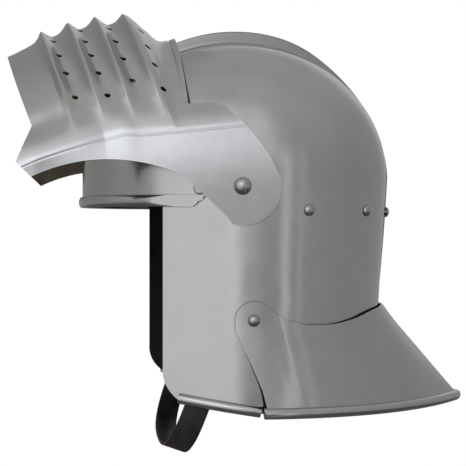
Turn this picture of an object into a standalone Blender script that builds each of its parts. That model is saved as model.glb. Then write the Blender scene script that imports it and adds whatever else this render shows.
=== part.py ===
# Steel sallet with a bellows visor pushed up over the crown, long cheeks and a flared tail plate.
# Metres, +Z up. The front faces -Y and +X is the wearer's left. The origin is on the inside of the
# crown's apex, where a head would carry the helmet, and the plane X = 0 is its plane of symmetry.
import math

import bmesh
import bpy
from mathutils import Matrix, Vector

# Sheet, gaps and rolled edges
WALL = 0.0015                # steel sheet
GAP = 0.0003                 # between pieces that touch
BROW_GAP = 0.0008            # brow plate to skull
TAIL_GAP = 0.0014            # tail plate to skull, so that the tail can turn
ARM_GAP = 0.0013             # visor arms to skull
ROLL_RADIUS = 0.0040         # rolled lower edges of cheeks and tail
ROLL_LIFT = 0.55             # share of that radius by which the cheeks' roll sits above their edge

# Skull: an ellipsoid dome on an upright oval neck
SKULL_HALF_WIDTH = 0.097
SKULL_HALF_LENGTH = 0.120
DOME_HEIGHT = 0.105
NECK_DROP = 0.1005           # equator to the neck's lower edge at the back
NECK_TAPER = 0.0065          # how far the back leans in over that drop
SKULL_COLUMNS = 48
DOME_ROWS = 9
COMB_HEIGHT = 0.0110
COMB_HALF_WIDTH = 0.0042

# Face opening and cheeks
BROW_EDGE_DROP = 0.0190      # equator to the skull's edge over the face
FACE_CORNER = 0.0040         # rounding between that edge and the cheeks' front edges
FACE_SETBACK = 0.055         # brow front back to the cheeks' front edges
CHEEK_LENGTH = 0.1750        # equator to the cheeks' lower edge, inside its roll
CHEEK_RISE = 0.0097          # how much higher the cheeks' edge is at its front
CHEEK_CHAMFER = 0.0120       # corner between front edge and lower edge, along Y
CHEEK_BACK = 0.0120          # how far the cheeks reach behind the crown's centre
TAIL_OVERLAP = 0.0115        # skull below the tail's upper edge

# Brow plate
BROW_TOP_RISE = 0.0245       # equator up to the plate's upper edge
BROW_ROLL_DROP = 0.0212      # equator down to the middle of its rolled edge
BROW_ROLL_HALF_HEIGHT = 0.0042
BROW_ROLL_DEPTH = 0.0044     # how thick the roll is, front to back
BROW_HALF_SPAN = math.radians(75)
BROW_CUT_TOP = 0.0020        # plate's end forward to the top of the cut through the roll
BROW_CUT_BOTTOM = 0.0150     # and to the bottom of that cut

# Visor, sized in its closed place: forward and down are measured from its pivots
PIVOT_SETBACK = 0.0095       # pivots ahead of the crown's centre
PIVOT_DROP = 0.0110          # equator down to the pivots
VISOR_RAISED = math.radians(84)  # as far as the comb lets it go
LIP_CLEARANCE = 0.0137       # brow front to the visor's lip
VISOR_BULGE = 0.0360         # brow front to the flute crests
VISOR_DROP = 0.1590          # pivot down to the chin
FLUTE_DEPTH = 0.0072
FLUTE_ROUND = 2.2            # 1 would be straight slopes; more gives sharp crests and round valleys
FLUTE_RISE = 0.0210          # how much the flutes climb from the middle to the side crease
CREASE_FORWARD = 0.0445      # side crease ahead of the pivot
CREASE_BEND = 0.72           # share of VISOR_DROP where the crease turns down to the chin's corners
CREASE_DIP = 0.0120          # how far back it has come at the chin, where it is as wide as the arms
CREASE_INSET = 0.0048        # crease inside the arms' outer faces above that bend
BAND_WIDTH = 0.0200
ARM_RADIUS = 0.0277
NOTCH_DEPTH = 0.0035
VENT_DIAMETER = 0.0042

# Tail plate
TAIL_LENGTH = 0.0700         # how far the keel runs back from the neck
TAIL_FLARE = 0.0090          # how much wider than the skull its lower edge is, each side
TAIL_EAR_RADIUS = 0.0132
TAIL_PIVOT_SETBACK = 0.0015  # tail's rivets ahead of the crown's centre
TAIL_PIVOT_FALL = 0.0064     # neck's edge down to the tail's rivets
TAIL_EDGE_RISE = 0.0025      # cheeks' lower edge up to the middle of the tail's rolled edge
TAIL_KEEL_DROP = 0.0055      # how much lower that is at the keel

# Rivets
PIVOT_HEAD_RADIUS = 0.0062
RIVET_HEAD_RADIUS = 0.0042
FLUSH_HEAD_RADIUS = 0.0046
STRAP_HEAD_RADIUS = 0.0032
SHANK_RADIUS = 0.0020
PEEN_HEIGHT = 0.0011
RIVET_RING_DROP = 0.0280     # equator down to the ring of rivets round the skull
BROW_RIVET_DROP = 0.0125
STRAP_RIVET_RISE = 0.0330    # cheeks' lower edge up to the strap's rivets
RIVET_SIDES = 8
DRILL_REACH = 0.0200         # length of the cutters for rivet holes

# Chin strap, a leather loop in a plane that leans forward
STRAP_WIDTH = 0.0180
STRAP_THICKNESS = 0.0025
STRAP_LEAN = math.radians(20)
STRAP_HANG = 0.0720          # strap rivets down to the loop's lowest point, along the lean
STRAP_END = 0.0110           # strap above its rivets
STRAP_CLEARANCE = 0.0016     # strap to the cheeks' rolled edges
STRAP_GAP = 0.0009           # strap's middle to the hollow cheek, which its edges meet
STRAP_SIDE_ANGLE = math.radians(75.5)
STRAP_TWIST = 2.2            # how soon the strap turns from the cheeks' slope to lie straight

# Worked out from the sizes above
EQUATOR_Z = WALL - DOME_HEIGHT
PIVOT = Vector((0, -PIVOT_SETBACK, EQUATOR_Z - PIVOT_DROP))
ARM_FACE = SKULL_HALF_WIDTH + ARM_GAP + WALL
BROW_REACH = SKULL_HALF_LENGTH - PIVOT_SETBACK
LIP_REACH = BROW_REACH + LIP_CLEARANCE
VISOR_REACH = BROW_REACH + VISOR_BULGE
CHEEK_FRONT_Y = FACE_SETBACK - SKULL_HALF_LENGTH
CHEEK_BOTTOM_Z = EQUATOR_Z - CHEEK_LENGTH
STRAP_RIVET_DROP = CHEEK_LENGTH - STRAP_RIVET_RISE
TAIL_HALF_WIDTH = SKULL_HALF_WIDTH + TAIL_FLARE
TAIL_PIVOT_Y = -TAIL_PIVOT_SETBACK
TAIL_PIVOT_DROP = NECK_DROP + TAIL_PIVOT_FALL
TAIL_EDGE_DROP = CHEEK_LENGTH - TAIL_EDGE_RISE
FAR = 0.4                    # cutters reach this far past the part

# Height of the comb along the middle of the dome: degrees from the top, backwards positive
COMB_ARC = (
    # angle, share of COMB_HEIGHT
    (-66, -0.05),
    (-50, 0.52),
    (-35, 0.74),
    (-20, 0.86),
    (-7, 0.97),
    (8, 1.00),
    (17, 0.95),
    (26, 0.80),
    (36, 0.54),
    (48, 0.32),
    (62, 0.22),
    (76, 0.24),
    (90, 0.34),
)

# The same down the back of the neck
COMB_NECK = (
    # share of NECK_DROP, share of COMB_HEIGHT
    (0.30, 0.35),
    (0.65, 0.30),
    (0.92, 0.22),
    (0.98, -0.05),
)

# Half of the comb's cross-section, from the wall up to the crest
COMB_SECTION = (
    # share of COMB_HALF_WIDTH, share of the height
    (1.00, 0.00),
    (0.66, 0.18),
    (0.42, 0.60),
    (0.30, 0.93),
    (0.12, 1.00),
)

# Levels of the visor in its closed place, from above its arms to below its chin
LIP_LEVELS = (
    # share of VISOR_DROP, share of LIP_REACH, share of FLUTE_RISE
    (-0.26, 1.000, -0.2),
    (0.00, 1.000, -0.2),
    (0.159, 1.000, -0.2),
    (0.205, 0.990, -0.1),
    (0.246, 0.984, 0.0),
)
SWELL_LEVELS = (
    # share of VISOR_DROP, share of VISOR_REACH, share of FLUTE_RISE
    (0.330, 0.914, 0.5),
)
FLUTE_CRESTS = (
    # share of VISOR_DROP, share of VISOR_REACH
    (0.4195, 1.000),
    (0.5585, 0.996),
    (0.6940, 0.976),
    (0.8290, 0.940),
)
FLUTE_STEPS = 4
CHIN_LEVELS = (
    # share of VISOR_DROP, share of VISOR_REACH, share of FLUTE_RISE
    (0.846, 0.905, 0.98),
    (0.864, 0.884, 0.95),
    (0.930, 0.850, 0.85),
    (1.000, 0.821, 0.75),
    (1.150, 0.770, 0.75),
)

# Columns from the visor's middle to the side crease: degrees on its rounded plan
VISOR_COLUMNS = (0, 8, 16, 25, 35, 45, 54, 62, 69, 76, 83, 90)
PLAN_POWER = 1.4             # 2 would be an ellipse; less gives a blunt prow
FLUTE_FADE = (0.45, 0.93)    # shares of the way to the crease where flutes start to fade and end
NOTCH_SHARE = 0.73           # share of the way to the crease where the notch is
NOTCH_SPREAD = 0.09
NOTCH_START = 0.74           # share of VISOR_DROP where the notch's valley begins

# Side view of the closed visor, in turn round its edge
VISOR_EDGE = (
    # share of VISOR_REACH forward, share of VISOR_DROP down
    (1.050, 0.159),
    (0.437, 0.187),
    (0.428, 0.072),
    (0.400, 0.030),
    (0.290, -0.050),
    (0.204, -0.103),
    (0.127, -0.141),
)
VISOR_ARM = (
    # share of VISOR_REACH forward, share of VISOR_DROP down: the arm's edge from its round end to the arch
    (-0.153, 0.073),
    (-0.051, 0.153),
    (0.041, 0.223),
)
VISOR_ARCH = (
    # share of VISOR_REACH forward, share of VISOR_DROP down: start, middle and end of the arch
    (0.093, 0.274),
    (0.196, 0.600),
    (0.146, 0.925),
)
VISOR_HEM = (
    # share of VISOR_REACH forward, share of VISOR_DROP down
    (0.222, 0.984),
    (0.394, 0.902),
    (0.613, 0.955),
    (0.821, 1.000),
    (1.050, 1.050),
)

# Vents, a row above each flute crest
VENT_ROWS = (
    # crest below the row, share of the way up to the next, degrees on the rounded plan
    (3, 0.36, (19.5, 34, 46, 60)),
    (2, 0.38, (14, 28.5, 39.5, 50.5, 63.5)),
    (1, 0.38, (18.5, 32, 44, 56.5)),
    (0, 0.34, (8, 22, 36.5, 48, 61.5)),
)

# Side view of the tail's upper edge behind its ears
TAIL_TOP = (
    # share of SKULL_HALF_LENGTH behind the crown's centre, share of NECK_DROP below the equator
    (0.120, 1.020),
    (0.215, 1.073),
    (0.345, 1.107),
    (0.480, 1.109),
    (0.630, 1.085),
    (0.815, 1.031),
    (0.975, 1.010),
)
# Side view of the tail's front edge, from the ear to the lower edge
TAIL_FRONT = (
    # share of TAIL_EAR_RADIUS behind the tail's rivets, share of the way down to its rolled edge
    (-0.970, 0.099),
    (-0.682, 0.244),
    (-0.152, 0.473),
    (0.455, 0.762),
    (0.795, 1.037),
)

LINING_RIVETS = (
    # name, degrees from the front
    ("skull_rivet_left", 110),
    ("skull_rivet_rear_left", 140),
    ("skull_rivet_rear", 180),
    ("skull_rivet_rear_right", 220),
    ("skull_rivet_right", 250),
)
BROW_RIVET_ANGLE = math.radians(71)

STEEL = ("satin_steel", (0.42, 0.42, 0.43), 0.34, 1.0)
DARK_STEEL = ("rivet_steel", (0.36, 0.36, 0.36), 0.30, 1.0)
LEATHER = ("black_leather", (0.012, 0.011, 0.011), 0.55, 0.0)


def clear_scene():
    for item in list(bpy.data.objects):
        bpy.data.objects.remove(item, do_unlink=True)


def new_collection(name):
    group = bpy.data.collections.new(name)
    bpy.context.scene.collection.children.link(group)
    return group


def make_material(name, finish):
    label, colour, roughness, metallic = finish
    material = bpy.data.materials.new(f"{name}_{label}")
    material.use_nodes = True
    shader = material.node_tree.nodes["Principled BSDF"]
    shader.inputs["Base Color"].default_value = (*colour, 1)
    shader.inputs["Roughness"].default_value = roughness
    shader.inputs["Metallic"].default_value = metallic
    return material


def loft(rings, closed=True, capped=True):
    """A mesh through rings of equally many points; a ring of one point closes it to a pole."""
    shape = bmesh.new()
    rows = [[shape.verts.new(point) for point in ring] for ring in rings]
    for upper, lower in zip(rows, rows[1:]):
        count = max(len(upper), len(lower))
        for i in range(count if closed else count - 1):
            j = (i + 1) % count
            below = [lower[i % len(lower)], lower[j % len(lower)]]
            above = [upper[j % len(upper)], upper[i % len(upper)]]
            shape.faces.new(list(dict.fromkeys(below + above)))
    if capped:
        shape.faces.new(rows[0])
        shape.faces.new(list(reversed(rows[-1])))
    bmesh.ops.recalc_face_normals(shape, faces=shape.faces)
    if capped and shape.calc_volume(signed=True) < 0:
        bmesh.ops.reverse_faces(shape, faces=shape.faces)
    return shape


def add_object(name, shape, group, finish=None):
    mesh = bpy.data.meshes.new(name)
    shape.to_mesh(mesh)
    shape.free()
    thing = bpy.data.objects.new(name, mesh)
    group.objects.link(thing)
    if finish:
        mesh.materials.append(make_material(name, finish))
        mesh.shade_smooth()
        mesh.set_sharp_from_angle(angle=math.radians(35))
    else:
        thing.hide_render = True
        thing.display_type = "WIRE"
    return thing


def combine(target, other, operation):
    step = target.modifiers.new(f"{operation.lower()}_{other.name}", "BOOLEAN")
    step.operation = operation
    step.solver = "EXACT"
    step.object = other


def thicken(thing):
    step = thing.modifiers.new("thickness", "SOLIDIFY")
    step.thickness = WALL
    step.offset = -1
    step.use_even_offset = True


def mirror(thing):
    step = thing.modifiers.new("other_side", "MIRROR")
    step.merge_threshold = 0.00001


def arc(centre, radius, start, end, steps):
    """Points of an arc in a (horizontal, vertical) plane; angles in degrees."""
    angles = [math.radians(start + (end - start) * i / steps) for i in range(steps + 1)]
    return [(centre[0] + radius * math.cos(a), centre[1] + radius * math.sin(a)) for a in angles]


def bend(start, middle, end, steps):
    """Points of one smooth curve that passes through three points."""
    control = [2 * m - (s + e) / 2 for s, m, e in zip(start, middle, end)]
    shares = [i / steps for i in range(steps + 1)]
    return [
        tuple((1 - t) ** 2 * s + 2 * t * (1 - t) * c + t * t * e for s, c, e in zip(start, control, end))
        for t in shares
    ]


def prism(name, outline, group):
    """A cutter with the given (y, z) outline that runs right across the part."""
    sides = [[(x, y, z) for y, z in outline] for x in (-FAR, FAR)]
    return add_object(name, loft(sides), group)


def tube(points, radius, sides=8):
    """A round bar along a path, with flat ends."""
    path = [Vector(p) for p in points]
    rings = []
    for i, point in enumerate(path):
        ahead = (path[min(i + 1, len(path) - 1)] - path[max(i - 1, 0)]).normalized()
        across = ahead.cross(Vector((0, 0, 1))).normalized()
        above = across.cross(ahead)
        turns = [2 * math.pi * (k + 0.5) / sides for k in range(sides)]
        rings.append([point + radius * (math.cos(a) * across + math.sin(a) * above) for a in turns])
    return loft(rings)


def skull_point(angle, drop, out=0.0):
    """The skull's outer face: angle from the front, drop below the equator, distance outwards."""
    half_width = SKULL_HALF_WIDTH + out
    half_length = SKULL_HALF_LENGTH + out
    shrink = 1.0
    if drop < 0:
        shrink = math.sqrt(max(0.0, 1 - (drop / (DOME_HEIGHT + out)) ** 2))
    elif math.cos(angle) < 0:
        half_length -= NECK_TAPER * drop / NECK_DROP
    x = half_width * math.sin(angle) * shrink
    y = -half_length * math.cos(angle) * shrink
    return Vector((x, y, EQUATOR_Z - drop))


def skull_normal(angle, drop):
    step = 0.001
    along = skull_point(angle + step, drop) - skull_point(angle - step, drop)
    down = skull_point(angle, drop + step) - skull_point(angle, drop - step)
    return down.cross(along).normalized()


def skull_bell():
    turns = [2 * math.pi * k / SKULL_COLUMNS for k in range(SKULL_COLUMNS)]
    rings = [[Vector((0, 0, WALL))]]
    for row in range(1, DOME_ROWS + 1):
        lift = DOME_HEIGHT * math.cos(math.pi / 2 * row / DOME_ROWS)
        rings.append([skull_point(turn, -lift) for turn in turns])
    for share in (0.5, 1.0, 1.05 * CHEEK_LENGTH / NECK_DROP):
        rings.append([skull_point(turn, share * NECK_DROP) for turn in turns])
    return loft(rings, capped=False)


def comb_stations():
    """Points along the middle of the skull, the way out from each, and the comb's height there."""
    stations = []
    for degrees, share in COMB_ARC:
        turn = math.radians(degrees)
        base = Vector((0, SKULL_HALF_LENGTH * math.sin(turn), EQUATOR_Z + DOME_HEIGHT * math.cos(turn)))
        out = Vector((0, math.sin(turn) * DOME_HEIGHT, math.cos(turn) * SKULL_HALF_LENGTH)).normalized()
        stations.append((base, out, share * COMB_HEIGHT))
    for drop, share in COMB_NECK:
        stations.append((skull_point(math.pi, drop * NECK_DROP), Vector((0, 1, 0)), share * COMB_HEIGHT))
    return stations


def comb_fin(root, inset):
    """The comb as a fin; inset makes it the smaller fin that hollows the comb."""
    rings = []
    for base, out, height in comb_stations():
        half_width = COMB_HALF_WIDTH - inset
        top = max(height - inset, root + GAP / 2)
        foot = min(0.0, top)
        half = [(half_width * w, foot + (top - foot) * h) for w, h in COMB_SECTION]
        half.insert(0, (half_width, root))
        points = [(-w, h) for w, h in half] + [(w, h) for w, h in reversed(half)]
        rings.append([base + out * h + Vector((w, 0, 0)) for w, h in points])
    return loft(rings)


def skull_outline():
    """What is cut away from the bell, seen from the side."""
    face_z = EQUATOR_Z - BROW_EDGE_DROP
    front_z = CHEEK_BOTTOM_Z + CHEEK_RISE
    corner = arc((CHEEK_FRONT_Y - FACE_CORNER, face_z - FACE_CORNER), FACE_CORNER, 90, 0, 3)
    front = (CHEEK_FRONT_Y, front_z + 2 * CHEEK_CHAMFER)
    middle = (CHEEK_FRONT_Y + 0.2 * CHEEK_CHAMFER, front_z + 0.9 * CHEEK_CHAMFER)
    chin = bend(front, middle, (CHEEK_FRONT_Y + CHEEK_CHAMFER, front_z), 4)
    neck = [(SKULL_HALF_LENGTH * y, EQUATOR_Z - NECK_DROP * drop - TAIL_OVERLAP) for y, drop in TAIL_TOP[2:]]
    heel = [(CHEEK_BACK, CHEEK_BOTTOM_Z), ((CHEEK_BACK + neck[0][0]) / 2, neck[0][1])]
    ends = [(FAR, neck[-1][1]), (FAR, -FAR), (-FAR, -FAR), (-FAR, face_z)]
    return corner + chin + heel + neck + ends


def cheek_roll():
    """Path of the left cheek's rolled lower edge."""
    start = CHEEK_FRONT_Y + 0.93 * CHEEK_CHAMFER
    front_z = CHEEK_BOTTOM_Z + CHEEK_RISE
    points = []
    for share in (0.0, 0.25, 0.5, 0.75, 1.0):
        y = start + (0.35 * CHEEK_BACK - start) * share
        z = front_z - CHEEK_RISE * share + ROLL_LIFT * ROLL_RADIUS
        angle = math.acos(-y / SKULL_HALF_LENGTH)
        points.append(skull_point(angle, EQUATOR_Z - z, -WALL / 2))
    return points


def mirrored(points):
    return [Vector((-p.x, p.y, p.z)) for p in reversed(points)]


def make_skull(parts, cutters):
    skull = add_object("skull", skull_bell(), parts, STEEL)
    thicken(skull)
    combine(skull, add_object("comb_outside", comb_fin(-WALL / 2, 0.0), cutters), "UNION")
    combine(skull, add_object("comb_hollow", comb_fin(-2 * WALL, WALL), cutters), "DIFFERENCE")
    combine(skull, prism("skull_outline", skull_outline(), cutters), "DIFFERENCE")
    for side, path in (("left", cheek_roll()), ("right", mirrored(cheek_roll()))):
        combine(skull, add_object(f"cheek_roll_{side}", tube(path, ROLL_RADIUS), cutters), "UNION")
    return skull


def brow_section():
    """Cross-section of the brow plate: distance out from the skull, drop below the equator."""
    inner, outer = BROW_GAP, BROW_GAP + WALL
    middle = BROW_GAP + BROW_ROLL_DEPTH / 2
    roll_top = BROW_ROLL_DROP - BROW_ROLL_HALF_HEIGHT
    plate_rows = [-BROW_TOP_RISE, -BROW_TOP_RISE / 2, 0.0, roll_top]
    section = [(outer, drop) for drop in plate_rows]
    for degrees in (60, 20, -20, -60, -90, -120, -160):
        turn = math.radians(degrees)
        drop = BROW_ROLL_DROP - BROW_ROLL_HALF_HEIGHT * math.sin(turn)
        section.append((middle + BROW_ROLL_DEPTH / 2 * math.cos(turn), drop))
    section += [(inner, drop) for drop in reversed(plate_rows)]
    return section


def brow_end_outline():
    """The slanted cut at the ends of the roll, seen from the side."""
    top = EQUATOR_Z - BROW_ROLL_DROP + 1.1 * BROW_ROLL_HALF_HEIGHT
    bottom = EQUATOR_Z - BROW_ROLL_DROP - 1.5 * BROW_ROLL_HALF_HEIGHT
    end = -SKULL_HALF_LENGTH * math.cos(BROW_HALF_SPAN)
    return [(end - BROW_CUT_TOP, top), (end - BROW_CUT_BOTTOM, bottom), (0, bottom), (0, top)]


def make_brow_plate(parts, cutters):
    steps = round(2 * BROW_HALF_SPAN / (2 * math.pi / SKULL_COLUMNS))
    rings = []
    for k in range(steps + 1):
        angle = BROW_HALF_SPAN * (2 * k / steps - 1)
        rings.append([skull_point(angle, drop, out) for out, drop in brow_section()])
    plate = loft(rings)
    ends = [face for face in plate.faces if len(face.verts) > 4]
    bmesh.ops.triangulate(plate, faces=ends)
    brow = add_object("brow_plate", plate, parts, STEEL)
    combine(brow, prism("brow_end_outline", brow_end_outline(), cutters), "DIFFERENCE")
    return brow


def visor_rows():
    """Level, plain reach, flute height and climb for each row of the visor."""
    rows = [(v, r * LIP_REACH, 0.0, k) for v, r, k in LIP_LEVELS]
    rows += [(v, r * VISOR_REACH, 0.0, k) for v, r, k in SWELL_LEVELS]
    middle = FLUTE_DEPTH / 2
    for upper, lower in zip(FLUTE_CRESTS, FLUTE_CRESTS[1:]):
        for i in range(FLUTE_STEPS):
            share = i / FLUTE_STEPS
            level = upper[0] + (lower[0] - upper[0]) * share
            crest = VISOR_REACH * (upper[1] + (lower[1] - upper[1]) * share)
            dip = FLUTE_DEPTH * (1 - abs(2 * share - 1) ** FLUTE_ROUND)
            rows.append((level, crest - middle, middle - dip, 1.0))
    level, reach = FLUTE_CRESTS[-1]
    rows.append((level, reach * VISOR_REACH - middle, middle, 1.0))
    rows += [(v, r * VISOR_REACH, 0.0, k) for v, r, k in CHIN_LEVELS]
    return rows


def crease_place(level):
    """How far the side crease is inside the arms' outer faces and ahead of the pivots at a level."""
    bent = max(0.0, (level - CREASE_BEND) / (1 - CREASE_BEND))
    return CREASE_INSET * max(0.0, 1 - bent), CREASE_FORWARD - CREASE_DIP * bent


def plan_point(level, reach, degrees):
    """Half-width and forward distance on the visor's rounded plan, and share of the way to the crease."""
    turn = math.radians(degrees)
    side = max(0.0, math.sin(turn)) ** (2 / PLAN_POWER)
    front = max(0.0, math.cos(turn)) ** (2 / PLAN_POWER)
    inset, crease = crease_place(level)
    return (ARM_FACE - inset) * side, crease + (reach - crease) * front, 1 - front


def visor_point(row, degrees, out=0.0):
    """A point of the closed visor about its pivots, between its middle and the side crease."""
    level, reach, flute, climb = row
    x, forward, share = plan_point(level, reach, degrees)
    before = plan_point(level, reach, max(0, degrees - 1))
    after = plan_point(level, reach, min(90, degrees + 1))
    outwards = Vector((after[0] - before[0], after[1] - before[1]))
    outwards = Vector((-outwards.y, outwards.x)).normalized() if degrees else Vector((0, 1))
    start, end = FLUTE_FADE
    fade = min(1.0, max(0.0, (end - share) / (end - start)))
    raise_by = flute * fade * fade * (3 - 2 * fade) + out
    depth = min(1.0, max(0.0, (level - NOTCH_START) / (1 - NOTCH_START)))
    raise_by -= NOTCH_DEPTH * depth * math.exp(-((share - NOTCH_SHARE) / NOTCH_SPREAD) ** 2)
    x += outwards.x * raise_by
    forward += outwards.y * raise_by
    down = level * VISOR_DROP - FLUTE_RISE * climb * share
    return Vector((x if degrees else 0.0, -forward, -down))


def visor_side_points(row):
    """The side band and the flat of the arm behind the crease."""
    level, _, _, climb = row
    down = level * VISOR_DROP - FLUTE_RISE * climb
    inset, crease = crease_place(level)
    places = (
        # share of the crease's inset gained, distance behind the crease
        (0.55, 0.5 * BAND_WIDTH),
        (1.00, BAND_WIDTH),
        (1.00, crease + 1.2 * ARM_RADIUS),
    )
    return [Vector((ARM_FACE - inset * (1 - gain), back - crease, -down)) for gain, back in places]


def visor_outline():
    """Side view of the closed visor about its pivots, as (y, z)."""
    def place(table):
        return [(-VISOR_REACH * forward, -VISOR_DROP * down) for forward, down in table]

    disc = arc((0, 0), ARM_RADIUS, 100, -20, 8)
    arch = bend(*place(VISOR_ARCH), 8)
    return place(VISOR_EDGE) + disc + place(VISOR_ARM) + arch + place(VISOR_HEM)


def row_between(rows, crest, share):
    """The row a share of the way up from a flute crest."""
    plain = [i for i, row in enumerate(rows) if row[2] > 0.49 * FLUTE_DEPTH]
    if crest:
        place = plain[crest] - share * FLUTE_STEPS
        low = math.floor(place)
        mix = place - low
        return tuple(a + (b - a) * mix for a, b in zip(rows[low], rows[low + 1]))
    lower, upper = rows[plain[0]], rows[plain[0] - 2]
    return tuple(a + (b - a) * share for a, b in zip((lower[0], lower[1], 0.0, lower[3]), upper))


def vent_cutter(rows, group):
    shape = bmesh.new()
    for crest, share, places in VENT_ROWS:
        row = row_between(rows, crest, share)
        for degrees in places:
            inside = visor_point(row, degrees, -FLUTE_DEPTH)
            outside = visor_point(row, degrees, FLUTE_DEPTH)
            for flip in (1, -1):
                a = Vector((flip * inside.x, inside.y, inside.z))
                b = Vector((flip * outside.x, outside.y, outside.z))
                turn = (b - a).to_track_quat("Z", "Y").to_matrix().to_4x4()
                bmesh.ops.create_cone(
                    shape, cap_ends=True, segments=8, radius1=VENT_DIAMETER / 2, radius2=VENT_DIAMETER / 2,
                    depth=(b - a).length, matrix=Matrix.Translation((a + b) / 2) @ turn)
    return add_object("vents", shape, group)


def make_visor(parts, cutters):
    rows = visor_rows()
    grid = [[visor_point(row, d) for d in VISOR_COLUMNS] + visor_side_points(row) for row in rows]
    visor = add_object("visor", loft(grid, closed=False, capped=False), parts, STEEL)
    face_outwards(visor)
    mirror(visor)
    thicken(visor)
    edge = prism("visor_outline", visor_outline(), cutters)
    vents = vent_cutter(rows, cutters)
    for thing in (visor, edge, vents):
        thing.location = PIVOT
        thing.rotation_euler.x = -VISOR_RAISED
    combine(visor, edge, "INTERSECT")
    combine(visor, vents, "DIFFERENCE")
    return visor


def face_outwards(thing):
    """Turn the faces of an open half shell so that they look away from its inside."""
    shape = bmesh.new()
    shape.from_mesh(thing.data)
    if sum(face.normal.x * face.calc_area() for face in shape.faces) < 0:
        bmesh.ops.reverse_faces(shape, faces=shape.faces)
    shape.to_mesh(thing.data)
    shape.free()


def tail_edge_drop(share):
    """Drop of the tail's upper edge at a share of SKULL_HALF_LENGTH behind the crown's centre."""
    if share <= TAIL_TOP[0][0]:
        return NECK_DROP * TAIL_TOP[2][1]
    for (y0, d0), (y1, d1) in zip(TAIL_TOP, TAIL_TOP[1:]):
        if share <= y1:
            return NECK_DROP * max(d0 + (d1 - d0) * (share - y0) / (y1 - y0), TAIL_TOP[-1][1])
    return NECK_DROP * TAIL_TOP[-1][1]


def tail_bottom(share):
    """Left half of the tail's lower edge, from its front to the keel."""
    tip = SKULL_HALF_LENGTH - NECK_TAPER + TAIL_LENGTH
    start = (TAIL_HALF_WIDTH, TAIL_PIVOT_Y - 0.23 * TAIL_EAR_RADIUS)
    control = (0.95 * TAIL_HALF_WIDTH, 0.60 * tip)
    x = (1 - share) ** 2 * start[0] + 2 * share * (1 - share) * control[0]
    y = (1 - share) ** 2 * start[1] + 2 * share * (1 - share) * control[1] + share ** 2 * tip
    return Vector((x, y, EQUATOR_Z - TAIL_EDGE_DROP - TAIL_KEEL_DROP * share))


def tail_columns():
    """Left half of the tail plate: columns from the front to the keel, each from the top down."""
    start = math.radians(78.75)
    count = 14
    out = TAIL_GAP + WALL
    columns = []
    for k in range(count + 1):
        share = k / count
        angle = start + (math.pi - start) * share
        back = -math.cos(angle)
        top = skull_point(angle, TAIL_PIVOT_DROP - 1.2 * TAIL_EAR_RADIUS, out)
        edge = skull_point(angle, tail_edge_drop(back) - 2 * GAP, out)
        bottom = tail_bottom(share)
        if k == count:
            top.x = edge.x = bottom.x = 0.0
        columns.append([top, edge, edge.lerp(bottom, 0.5), bottom])
    return columns


def tail_outline():
    """The tail plate that is kept, seen from the side."""
    pivot = (TAIL_PIVOT_Y, EQUATOR_Z - TAIL_PIVOT_DROP)
    ear = arc(pivot, TAIL_EAR_RADIUS, 195, 55, 9)
    top = [(SKULL_HALF_LENGTH * y, EQUATOR_Z - NECK_DROP * drop) for y, drop in TAIL_TOP]
    fall = TAIL_EDGE_DROP - TAIL_PIVOT_DROP
    front = [(pivot[0] + TAIL_EAR_RADIUS * y, pivot[1] - fall * drop) for y, drop in reversed(TAIL_FRONT)]
    ends = [(FAR, top[-1][1]), (FAR, -FAR), (front[0][0], -FAR)]
    return ear + top + ends + front


def tail_roll():
    """Path of the tail's rolled lower edge, from the left front round the keel to the right front."""
    start = 0.045
    left = [tail_bottom(start + (1 - start) * k / 12) for k in range(13)]
    left = [Vector((p.x - WALL / 2, p.y, p.z)) for p in left[:-1]] + [left[-1] - Vector((0, WALL, 0))]
    left[-1].x = 0.0
    return left + mirrored(left)[1:]


def make_tail_plate(parts, cutters):
    columns = tail_columns()
    tail = add_object("tail_plate", loft(columns, closed=False, capped=False), parts, STEEL)
    face_outwards(tail)
    mirror(tail)
    thicken(tail)
    combine(tail, prism("tail_outline", tail_outline(), cutters), "INTERSECT")
    combine(tail, add_object("tail_roll", tube(tail_roll(), ROLL_RADIUS), cutters), "UNION")
    return tail


def turned(name, profile, group, finish):
    """A turned piece about local Z from a (radius, height) profile that runs from top to bottom."""
    shape = bmesh.new()
    points = [shape.verts.new((radius, 0, height)) for radius, height in profile]
    for a, b in zip(points, points[1:]):
        shape.edges.new((a, b))
    thing = add_object(name, shape, group, finish)
    step = thing.modifiers.new("turn", "SCREW")
    step.steps = RIVET_SIDES
    step.render_steps = RIVET_SIDES
    step.use_merge_vertices = True
    step.merge_threshold = 0.00001
    return thing


def round_rivet_profile(head, stack, peen):
    """A domed head on the outside, a shank through the plates, and a peened end inside."""
    height = 0.62 * head
    dome = [(head * math.sin(math.radians(a)), height * math.cos(math.radians(a))) for a in (0, 30, 58, 82)]
    return dome + [(head, 0), (SHANK_RADIUS, 0), (SHANK_RADIUS, -stack)] + peened_end(stack, peen)


def flush_rivet_profile(head, sunk, stack, peen):
    """A flat head level with the outer plate, and a peened end inside."""
    plate = [(0, 0), (head, 0), (head, -sunk), (SHANK_RADIUS, -sunk), (SHANK_RADIUS, -stack)]
    return plate + peened_end(stack, peen)


def peened_end(stack, peen):
    return [(peen, -stack), (0.8 * peen, -stack - PEEN_HEIGHT), (0, -stack - PEEN_HEIGHT)]


def place_rivet(rivet, point, normal):
    rivet.location = point
    rivet.rotation_mode = "QUATERNION"
    rivet.rotation_quaternion = normal.to_track_quat("Z", "Y")


def drill(name, point, normal, radius, reach, group, *plates):
    """A hole about an axis, half of reach to each side of the point."""
    shape = bmesh.new()
    bmesh.ops.create_cone(
        shape, cap_ends=True, segments=RIVET_SIDES, radius1=radius, radius2=radius, depth=reach)
    hole = add_object(name, shape, group)
    place_rivet(hole, point, normal)
    for plate in plates:
        combine(plate, hole, "DIFFERENCE")


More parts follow.
